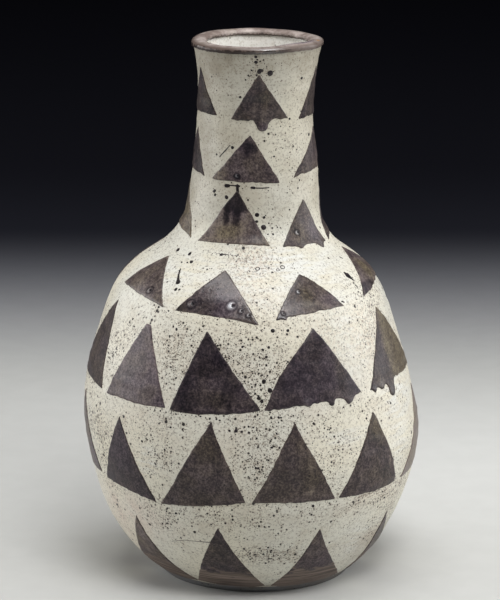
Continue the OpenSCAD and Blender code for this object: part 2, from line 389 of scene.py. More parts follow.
def makeCream():
    material, tree, shader = startMaterial("cream_glaze")
    where = place(tree)
    grains = makeGrains(tree, where, creamLook)
    shake = put(tree, "TexNoise", {"Vector": where, "Scale": creamLook["shakeScale"]}).outputs["Color"]
    shaken = put(tree, "VectorMath", {0: shake, 1: (creamLook["shake"],) * 3, 2: where},
                 operation="MULTIPLY_ADD").outputs["Vector"]
    clusters = spread(tree, grains["clusters"], *creamLook["clusters"])
    speckle = times(tree, painted(tree, "speckle"), clusters)
    colour = layOver(tree, creamLook, creamLook["warm"], grains)
    strengths = {}
    for label, (noise, limits) in creamLook["painted"].items():
        strengths[label] = times(tree, painted(tree, label), spread(tree, grains[noise], *limits))
        colour = tint(tree, strengths[label], colour, creamLook[label])
    lines = times(tree, spread(tree, grains["lines"], *creamLook["lines"]), painted(tree, "brushed"))
    lines = times(tree, lines, spread(tree, grains["breaks"], *creamLook["breaks"]))
    colour = tint(tree, lines, colour, creamLook["dust"])
    bloom = painted(tree, "bloom")
    ash = calc(tree, "MULTIPLY_ADD", strengths["thinAndShade"], creamLook["ashThinAndShade"], creamLook["ash"])
    ash = calc(tree, "MULTIPLY_ADD", speckle, creamLook["ashSpeckle"], ash)
    ash = calc(tree, "MULTIPLY_ADD", bloom, creamLook["ashBloom"], ash, clamp=True)
    dusty = times(tree, spread(tree, grains["dust"], *creamLook["dusty"]), ash)
    colour = tint(tree, dusty, colour, creamLook["dust"])
    pepper = calc(tree, "MULTIPLY_ADD", bloom, creamLook["pepperBloom"], creamLook["pepperShare"])
    pepper = times(tree, pepper, clusters)
    kinds = [(*layer, speckle) for layer in creamLook["specks"]]
    kinds += [(*layer, pepper) for layer in creamLook["pepper"]]
    cores = None
    for scale, radius, share, density in kinds:
        core, halo = speckLayer(tree, shaken, scale, radius, times(tree, density, share))
        colour = tint(tree, times(tree, halo, creamLook["haloStrength"]), colour, creamLook["halo"])
        cores = core if cores is None else calc(tree, "MAXIMUM", cores, core)
    colour = tint(tree, cores, colour, creamLook["speck"])
    relief = times(tree, grains["dust"], creamLook["relief"]["dust"])
    relief = calc(tree, "MULTIPLY_ADD", grains["streaks"], creamLook["relief"]["streaks"], relief)
    relief = calc(tree, "MULTIPLY_ADD", cores, creamLook["relief"]["cores"], relief)
    raiseBump(tree, shader, relief, *creamLook["bump"])
    rough = spread(tree, grains["patches"], *creamLook["rough"])
    feed(tree, shader, {"Base Color": colour, "Roughness": rough})
    return material


# Iron glaze of the triangles: near black where it pooled, brown where it is thin, mauve or olive by turns
ironLook = {
    "tones": [(0.0, (0.011, 0.0085, 0.010)), (0.2, (0.025, 0.019, 0.021)), (0.4, (0.045, 0.034, 0.034)),
              (0.6, (0.080, 0.061, 0.057)), (0.8, (0.128, 0.101, 0.090)), (1.0, (0.200, 0.162, 0.136))],
    "olive": (1.01, 1.03, 0.80),
    "mauve": (0.97, 0.95, 1.20),
    "hues": (0.35, 0.65, -0.16, 0.16),
    # painted highlight: the white glint inside a burst bubble
    "pearl": (0.80, 0.82, 0.86),  # inside a burst bubble
    "edge": (0.105, 0.076, 0.057), "edgeAt": (0.9, 0.1), "edgeMottle": (0.35, 0.65, 0.05, 0.5),
    "wornDark": (0.095, 0.073, 0.064),
    "wornPale": (0.230, 0.180, 0.152), "wornLines": (0.38, 0.64),
    "grains": {
        "clouds": (75, 4, 0.62), "mottle": (380, 3, 0.6), "fine": (760, 3, 0.7), "hues": (60, 2, 0.55),
        "strokes": (1.6, 4, 0.6, (150, 150, 20)),  # brush marks, up and down,
        "turned": (3, 3, 0.55, (9, 9, 330)),  # and lines where the wheel wore it thin
    },
    "changed": (0.3, 0.7),
    "changes": {"clouds": (-0.09, 0.10), "strokes": (-0.10, 0.10), "mottle": (-0.12, 0.12),
                "fine": (-0.17, 0.17)},
    "pits": (420, 0.0007, 0.22), "pitTone": -0.30,
    "rough": (0.3, 0.7, 0.38, 0.50), "roughGloss": -0.18, "roughWorn": 0.25, "roughGlint": -0.2,
    "specular": 0.10, "specularGloss": 0.5,
    "relief": {"strokes": 0.5, "mottle": 0.6, "pits": -0.5},
    "bump": (0.0005, 0.40),
}


def makeIron():
    material, tree, shader = startMaterial("iron_glaze")
    where = place(tree)
    grains = makeGrains(tree, where, ironLook)
    worn, pearl, gloss = (painted(tree, label) for label in ("worn", "pearl", "gloss"))
    tone = painted(tree, "tone")
    for label, reach in ironLook["changes"].items():
        tone = calc(tree, "ADD", tone, spread(tree, grains[label], *ironLook["changed"], *reach))
    pits = speckLayer(tree, where, *ironLook["pits"])[0]
    colour = ramp(tree, calc(tree, "MULTIPLY_ADD", pits, ironLook["pitTone"], tone), ironLook["tones"])
    hue = spread(tree, grains["hues"], *ironLook["hues"])
    hue = calc(tree, "ADD", painted(tree, "mauve"), hue, clamp=True)
    colour = tint(tree, 1.0, colour, tint(tree, hue, ironLook["olive"], ironLook["mauve"]), mode="MULTIPLY")
    rim = times(tree, spread(tree, painted(tree, "edge"), *ironLook["edgeAt"]),
                spread(tree, grains["mottle"], *ironLook["edgeMottle"]))
    colour = tint(tree, rim, colour, ironLook["edge"])
    lines = spread(tree, grains["turned"], *ironLook["wornLines"])
    colour = tint(tree, worn, colour, tint(tree, lines, ironLook["wornDark"], ironLook["wornPale"]))
    # painted highlight: the glint of burst bubbles
    colour = tint(tree, pearl, colour, ironLook["pearl"])
    rough = spread(tree, grains["clouds"], *ironLook["rough"])
    rough = calc(tree, "MULTIPLY_ADD", gloss, ironLook["roughGloss"], rough)
    rough = calc(tree, "MULTIPLY_ADD", worn, ironLook["roughWorn"], rough)
    rough = calc(tree, "MULTIPLY_ADD", pearl, ironLook["roughGlint"], rough, clamp=True)
    relief = times(tree, grains["strokes"], ironLook["relief"]["strokes"])
    relief = calc(tree, "MULTIPLY_ADD", grains["mottle"], ironLook["relief"]["mottle"], relief)
    relief = calc(tree, "MULTIPLY_ADD", pits, ironLook["relief"]["pits"], relief)
    raiseBump(tree, shader, relief, *ironLook["bump"])
    specular = calc(tree, "MULTIPLY_ADD", gloss, ironLook["specularGloss"], ironLook["specular"])
    feed(tree, shader, {"Base Color": colour, "Roughness": rough, "Specular IOR Level": specular})
    return material


# Lip glaze: mauve brown, darker where it ran thick against the cream
lipLook = {
    "crown": (0.500, 0.428, 0.394),
    "side": (0.205, 0.158, 0.140),
    "olive": (0.240, 0.195, 0.155),
    "outside": (0.115, 0.085, 0.073),
    "stain": (0.105, 0.070, 0.125),
    "fleck": (0.42, 0.21, 0.085),
    "line": (0.040, 0.029, 0.026),
    "lineEdge": (3.3, 2.3), "lineShake": (0.3, 0.7, -1.1, 1.1),  # in millimetres from the cap's edge
    "grains": {"clouds": (85, 4, 0.6), "mottle": (520, 3, 0.55), "greens": (45, 3, 0.55),
               "border": (380, 2, 0.55)},
    "layers": [("clouds", (0.36, 0.66), "side"), ("greens", (0.50, 0.68, 0, 0.6), "olive"),
               ("mottle", (0.48, 0.72, 0, 0.45), "side")],
    "bump": (0.0004, 0.35),
    "rough": (0.3, 0.7, 0.16, 0.26),
}


def makeLip():
    material, tree, shader = startMaterial("lip_glaze")
    grains = makeGrains(tree, place(tree), lipLook)
    colour = layOver(tree, lipLook, lipLook["crown"], grains)
    for mark in ("outside", "stain", "fleck"):
        colour = tint(tree, painted(tree, mark), colour, lipLook[mark])
    edge = calc(tree, "ADD", painted(tree, "edge"), spread(tree, grains["border"], *lipLook["lineShake"]))
    line = times(tree, spread(tree, edge, *lipLook["lineEdge"]), painted(tree, "line"))
    colour = tint(tree, line, colour, lipLook["line"])
    raiseBump(tree, shader, grains["mottle"], *lipLook["bump"])
    rough = spread(tree, grains["clouds"], *lipLook["rough"])
    shine = painted(tree, "shine")
    feed(tree, shader, {"Base Color": colour, "Roughness": rough, "Specular IOR Level": shine})
    return material


# Liner inside: a paler coat with throwing rings and a few specks
linerLook = {
    "pale": (0.92, 0.905, 0.850),
    "pink": (0.88, 0.835, 0.775), "clouds": (0.40, 0.70),
    "ash": (0.47, 0.41, 0.33), "dusty": (0.50, 0.62, 0, 0.36),
    "speck": (0.07, 0.05, 0.04), "specks": (380, 0.0006, 0.16), "haloStrength": 0.2,
    "grains": {"clouds": (40, 4, 0.55), "ash": (560, 3, 0.75), "rings": (3, 3, 0.55, (5, 5, 90))},
    "bump": (0.0012, 0.35),
    "rough": (0.3, 0.7, 0.34, 0.48),
}


def makeLiner():
    material, tree, shader = startMaterial("liner_glaze")
    where = place(tree)
    grains = makeGrains(tree, where, linerLook)
    colour = tint(tree, spread(tree, grains["clouds"], *linerLook["clouds"]), linerLook["pale"],
                  linerLook["pink"])
    core, halo = speckLayer(tree, where, *linerLook["specks"])
    colour = tint(tree, times(tree, halo, linerLook["haloStrength"]), colour, linerLook["pink"])
    colour = tint(tree, spread(tree, grains["ash"], *linerLook["dusty"]), colour, linerLook["ash"])
    colour = tint(tree, core, colour, linerLook["speck"])
    raiseBump(tree, shader, grains["rings"], *linerLook["bump"])
    rough = spread(tree, grains["clouds"], *linerLook["rough"])
    feed(tree, shader, {"Base Color": colour, "Roughness": rough})
    return material


# Bare stoneware: grey, gritty, with turning lines and a faint flash of iron
clayLook = {
    "body": (0.180, 0.183, 0.191),
    "pale": (0.255, 0.258, 0.265),
    "flash": (0.140, 0.122, 0.105),
    "grit": (0.045, 0.037, 0.032), "grits": (480, 0.0006, 0.30), "gritStrength": 0.8,
    "grains": {"clouds": (45, 4, 0.62), "sand": (1100, 2, 0.55), "lines": (5, 3, 0.55, (8, 8, 160))},
    "layers": [("clouds", (0.40, 0.72), "flash"), ("lines", (0.48, 0.75, 0, 0.6), "pale"),
               ("sand", (0.58, 0.72, 0, 0.5), "pale")],
    "relief": {"lines": 0.5, "sand": 0.6},
    "bump": (0.0006, 0.6),
    "rough": (0.3, 0.7, 0.72, 0.9),
}


def makeClay():
    material, tree, shader = startMaterial("stoneware")
    where = place(tree)
    grains = makeGrains(tree, where, clayLook)
    colour = layOver(tree, clayLook, clayLook["body"], grains)
    grit = speckLayer(tree, where, *clayLook["grits"])[0]
    colour = tint(tree, times(tree, grit, clayLook["gritStrength"]), colour, clayLook["grit"])
    relief = times(tree, grains["lines"], clayLook["relief"]["lines"])
    relief = calc(tree, "MULTIPLY_ADD", grains["sand"], clayLook["relief"]["sand"], relief)
    raiseBump(tree, shader, relief, *clayLook["bump"])
    rough = spread(tree, grains["sand"], *clayLook["rough"])
    feed(tree, shader, {"Base Color": colour, "Roughness": rough})
    return material


cream, iron, lipBrown, liner, clay = makeCream(), makeIron(), makeLip(), makeLiner(), makeClay()
print("materials:", ", ".join(m.name for m in (cream, iron, lipBrown, liner, clay)))


# Clay courses, slab and lip coil: the frame's own solids, settled with the wall
clayForm = {
    "pieces": ["base_slab", "bowl_wall", "low_belly_wall", "high_belly_wall", "shoulder_wall", "collar_wall",
               "neck_wall", "lip_roll"],
    "sharp": 30,
}
weld = 0.002  # points nearer than this are one


def addClay(name):
    shape = bmesh.new()
    shape.from_mesh(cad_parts[name].data)
    bmesh.ops.remove_doubles(shape, verts=shape.verts, dist=weld * mm)
    bmesh.ops.recalc_face_normals(shape, faces=shape.faces)
    shape.verts.index_update()
    points = settle(np.array([vert.co for vert in shape.verts]) / mm)
    faces = [[vert.index for vert in face.verts] for face in shape.faces]
    shape.free()
    addPiece(name + "_clay", points, faces, clay, "stoneware", [name], sharp=clayForm["sharp"])


for name in clayForm["pieces"]:
    addClay(name)
print("clay:", len(clayForm["pieces"]), "courses and coils")


# Foot ring: turned on the wheel, bare, with softened edges and shallow grooves on its side
footForm = {"steps": 240, "soft": 1.3, "grooves": 3, "grooveDepth": 0.18, "sidePoints": 25, "sharp": 45}


def addFoot():
    points, radius = nodePoints("foot_ring")
    height, top = points[:, 2].max(), radius.max()
    inner, ground = radius.min(), radius[points[:, 2] < weld].max()
    soft = footForm["soft"]
    share = np.linspace(0, 1, footForm["sidePoints"])
    dip = footForm["grooveDepth"] * np.sin(share * footForm["grooves"] * np.pi) ** 2
    side = np.column_stack((ground + share * (top - ground) - dip,
                            soft * (1 - share) ** 3 + share * height))
    section = [(inner, height), (inner, soft), (inner + soft / 3, soft / 3), (inner + soft, 0),
               (ground - soft, 0), (ground - soft / 3, soft / 4), *side]
    points, faces = turn(section, footForm["steps"])
    addPiece("foot_ring_turned", settle(points), faces, clay, "stoneware", ["foot_ring"],
             sharp=footForm["sharp"])


addFoot()
print("foot: turned ring")


# Depths of the layers, measured on the frame at the belly, and where they start and end
bellyRadius = outlineRadius.max()
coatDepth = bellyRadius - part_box("low_belly_wall")[1].x / mm
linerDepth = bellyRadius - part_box("liner_glaze")[1].x / mm
underLip = 1.0  # how far the cream goes up behind the lip's cap
coatLow = outlineHeights[0]
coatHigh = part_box("lip_glaze")[0].z / mm + underLip
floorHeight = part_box("liner_glaze")[0].z / mm

# Cream coat. Its patches are azimuth, height, half width in degrees, half height, strength
creamForm = {
    "steps": 360, "rows": 250, "innerRows": 60, "sharp": 60,
    # By height: specks away from the patches, and where the coat is thin, with painted shade up the neck and
    # low down
    "freckle": [(5, 0.07), (60, 0.07), (250, 0.05), (300, 0.05), (380, 0.05)],
    "thinAndShade": [(5, 0.28), (14, 0.06), (30, 0.10), (60, 0.03), (248, 0), (258, 0.24), (268, 0.40),
             (285, 0.41), (326, 0.37), (350, 0.45), (372, 0.68)],
    # These patches too are partly thin coat and partly painted shade
    "thinAndShadePatches": [(8, 64, 26, 17, 0.24), (-62, 300, 28, 45, 0.24), (20, 312, 14, 40, -0.14),
                    (-50, 366, 25, 14, 0.16), (68, 30, 16, 10, 0.62), (62, 345, 20, 30, 0.17),
                    (-64, 350, 26, 30, 0.10)],
    "most": 1.15,
    # Where the iron bleeds through as specks
    "patches": [(-3, 178, 13, 15, 1.0), (5, 160, 8, 12, 1.0), (-59, 173, 4, 9, 1.0),
                (-27, 176, 6, 13, 0.9), (-33, 192, 5, 7, 0.38), (-52, 188, 5, 6, 0.45),
                (-62, 100, 5, 24, 0.9), (-31, 118, 7, 14, 0.75), (-14, 139, 20, 5, 0.14),
                (7, 120, 8, 16, 0.95), (2, 100, 5, 14, 0.8), (28, 109, 7, 16, 0.5), (45, 72, 14, 6, 0.4),
                (62, 66, 10, 7, 0.4), (-34, 66, 5, 9, 0.7), (-20, 69, 12, 6, 0.32), (8, 68, 14, 9, 0.3),
                (4, 39, 9, 3.5, 1.4), (19, 34, 7, 3, 0.9), (60, 44, 8, 8, 0.5), (-8, 222, 10, 14, 0.12),
                (0, 240, 16, 9, 0.15), (8, 213, 9, 9, 0.15), (-43, 216, 7, 10, 0.2),
                (30, 310, 13, 13, 0.25), (64, 196, 9, 16, 0.6), (-32, 205, 20, 5, 0.1),
                (50, 138, 14, 5, 0.35), (1, 368, 6, 6, 0.5)],
    # And as brown clouds; then dry brush lines, a pink blush, and where the coat is chalky, the widest chalk
    # patch being a painted sheen across the shoulder's front
    "bloom": [(0, 239, 11, 8, 0.9), (4, 216, 9, 12, 0.5), (31, 190, 10, 16, 0.5), (-28, 182, 6, 14, 0.35),
              (56, 186, 8, 14, 0.8), (60, 70, 16, 8, 0.2), (-48, 120, 8, 18, 0.25)],
    "brushed": [(40, 76, 11, 4, 1.0), (55, 74, 8, 5, 0.9), (58, 58, 8, 5, 0.6), (-4, 240, 12, 4, 0.5),
                (8, 37, 13, 4, 1.0)],
    "blush": [(-52, 60, 14, 10, 0.8), (-66, 44, 12, 14, 0.7), (58, 34, 10, 8, 0.7), (48, 72, 14, 5, 0.25),
              (0, 150, 60, 40, 0.2)],
    "chalkAndSheen": [(66, 138, 9, 10, 0.8), (61, 108, 5, 14, 0.5), (47, 40, 6, 9, 0.8), (34, 122, 7, 5, 0.5),
              (28, 236, 22, 9, 0.6), (-48, 226, 14, 10, 0.4), (46, 190, 6, 20, 0.5),
              (-37, 104.5, 2.6, 6, 0.9), (0, 226, 40, 14, 0.4)],
    "behind": {"seed": 21, "count": 34, "azimuth": (82, 278), "height": (25, 345), "wide": (5, 18),
               "high": (5, 18), "strength": (0.35, 1.0)},
}


# Patches on the far side are drawn at random, outside the front's
def farPatches():
    rules = creamForm["behind"]
    draw = np.random.default_rng(rules["seed"])
    labels = ("azimuth", "height", "wide", "high", "strength")
    return [tuple(draw.uniform(*rules[label]) for label in labels) for _ in range(rules["count"])]


speckPatches = creamForm["patches"] + farPatches()


def paint(patches, azimuth, height):
    total = np.zeros(len(azimuth))
    for at, level, wide, high, strength in patches:
        across = turnBetween(azimuth, math.radians(at)) / math.radians(wide)
        total += strength * np.exp(-0.5 * (across ** 2 + ((height - level) / high) ** 2))
    return total


def addCoat():
    outer = wallLine(coatLow, coatHigh, creamForm["rows"], 0)
    inner = wallLine(coatLow, coatHigh, creamForm["innerRows"], -coatDepth)[::-1]
    points, faces = turn(np.vstack((outer, inner)), creamForm["steps"])
    azimuth, height = np.arctan2(points[:, 0], -points[:, 1]), points[:, 2]
    speckle = readCurve(creamForm["freckle"], height) + paint(speckPatches, azimuth, height)
    thinAndShade = readCurve(creamForm["thinAndShade"], height) + paint(creamForm["thinAndShadePatches"], azimuth, height)
    shades = {"speckle": np.minimum(speckle, creamForm["most"]), "thinAndShade": np.clip(thinAndShade, 0, 1)}
    for label in ("bloom", "brushed", "blush", "chalkAndSheen"):
        shades[label] = np.minimum(paint(creamForm[label], azimuth, height), 1)
    addPiece("coat_of_cream", settle(points), faces, cream, "cream_glaze", ["cream_coat"],
             sharp=creamForm["sharp"], **shades)


linerForm = {"steps": 240, "rows": 120, "floorRows": 8, "topOver": 2.0, "thick": 0.6, "corner": 4,
             "sharp": 60}


def addLiner():
    top, thick, corner = coatHigh + linerForm["topOver"], linerForm["thick"], linerForm["corner"]
    outer = wallLine(floorHeight, top, linerForm["rows"], -linerDepth)
    inner = wallLine(floorHeight + corner, top, linerForm["rows"], -linerDepth - thick)[::-1]
    outer[:, 1] = np.maximum(outer[:, 1], floorHeight)
    inner[:, 1] = np.maximum(inner[:, 1], floorHeight + thick)
    across = np.linspace(0, 1, linerForm["floorRows"])[:-1]
    level = np.full(len(across), floorHeight)
    under = np.column_stack((across * outer[0, 0], level))
    over = np.column_stack((across[::-1] * (inner[-1, 0] - corner), level + thick))
    points, faces = turn(np.vstack((under, outer, inner, over)), linerForm["steps"], fromAxis=True)
    addPiece("liner_inside", settle(points), faces, liner, "liner_glaze", ["liner_glaze"],
             sharp=linerForm["sharp"])


addCoat()
addLiner()
print("coats: cream outside, liner inside")


# Lip: a flattened roll under a brown cap with scalloped edges. Its section runs from outside over the crown
lipForm = {
    "steps": 300, "arcPoints": 40, "square": 2.4, "grow": 0.3, "thick": 0.6, "sharp": 70,
    "outerEnd": -32, "innerEnd": 206, "scallop": 1.4,  # in degrees round the section
    "innerThin": 1.7,  # the dark run is this much narrower inside
    "outside": (35, 85),  # the darker side fades out between these,
    "outsideShare": [(-180, 1), (20, 1), (36, 0.8), (75, 0.8), (110, 1), (180, 1)],  # and thins by azimuth
    "scallopWaves": (31, 16, 70, (900, 901), 1.0),
    "pressedWaves": (32, 7, 9, (900, 901), 0.05),
    # How strong the dark run is: outside by azimuth, and inside
    "outerLine": [(-180, 0.8), (-100, 1.0), (19, 1.0), (32, 0.2), (110, 0.1), (180, 0.8)],
    "innerLine": 0.6,
    "shine": (7, 15, 0.16, 1.1),  # glossiest at this azimuth: half width, least, how much more
    # Marks: azimuth, angle round the section, half widths of both
    "stain": (50, 100, 20, 20),
    "fleck": (76, 68, 2.2, 14),
}


def addLip():
    points, radius = nodePoints("lip_glaze")
    inner, outer = radius.min(), radius.max()
    low, high = points[:, 2].min(), points[:, 2].max()
    middle, halfWide = (outer + inner) / 2, (outer - inner) / 2 + lipForm["grow"]
    centre, halfHigh = (high + low) / 2, (high - low) / 2
    steps, arcPoints = lipForm["steps"], lipForm["arcPoints"]
    azimuth = np.repeat(fullTurn(steps), 2 * arcPoints)
    arc = np.linspace(0, 1, arcPoints)
    there = np.tile(np.concatenate((arc, arc[::-1])), steps)
    inset = np.tile(np.repeat((0, lipForm["thick"]), arcPoints), steps)
    wave = lipForm["scallop"] * ripple(makeWaves(*lipForm["scallopWaves"]), azimuth, 0)
    start = lipForm["outerEnd"] + wave
    end = lipForm["innerEnd"] + np.roll(wave, len(wave) // 3)
    angle = start + there * (end - start)
    press = ripple(makeWaves(*lipForm["pressedWaves"]), azimuth, 0)
    across, upward = (np.sign(way) * np.abs(way) ** (2 / lipForm["square"])
                      for way in (np.cos(np.radians(angle)), np.sin(np.radians(angle))))
    points = polar(azimuth, middle + (halfWide + press - inset) * across,
                   centre + (halfHigh + press - inset) * upward)
    columns = np.arange(len(azimuth)).reshape(steps, -1).T
    faces = ringFaces(columns, np.roll(columns, -1, 0))
    facing = np.degrees(turnBetween(azimuth, 0))
    toEnd = np.minimum(there, lipForm["innerThin"] * (1 - there))
    fadeStart, fadeEnd = lipForm["outside"]
    outside = np.clip((fadeEnd - angle) / (fadeEnd - fadeStart), 0, 1)
    marks = {"edge": toEnd * np.radians(end - start) * (halfWide + halfHigh) / 2,
             "line": np.where(there < 0.5, readCurve(lipForm["outerLine"], facing), lipForm["innerLine"]),
             "outside": readCurve(lipForm["outsideShare"], facing) * outside}
    for label in ("stain", "fleck"):
        at, atAngle, wide, long = lipForm[label]
        marks[label] = bell((facing - at) / wide) * bell((angle - atAngle) / long)
    at, wide, least, more = lipForm["shine"]
    marks["shine"] = least + more * bell((facing - at) / wide)
    addPiece("lip_cap", settle(points), faces, lipBrown, "lip_glaze", ["lip_glaze"], sharp=lipForm["sharp"],
             **marks)


addLip()
print("lip: brown cap over the roll")
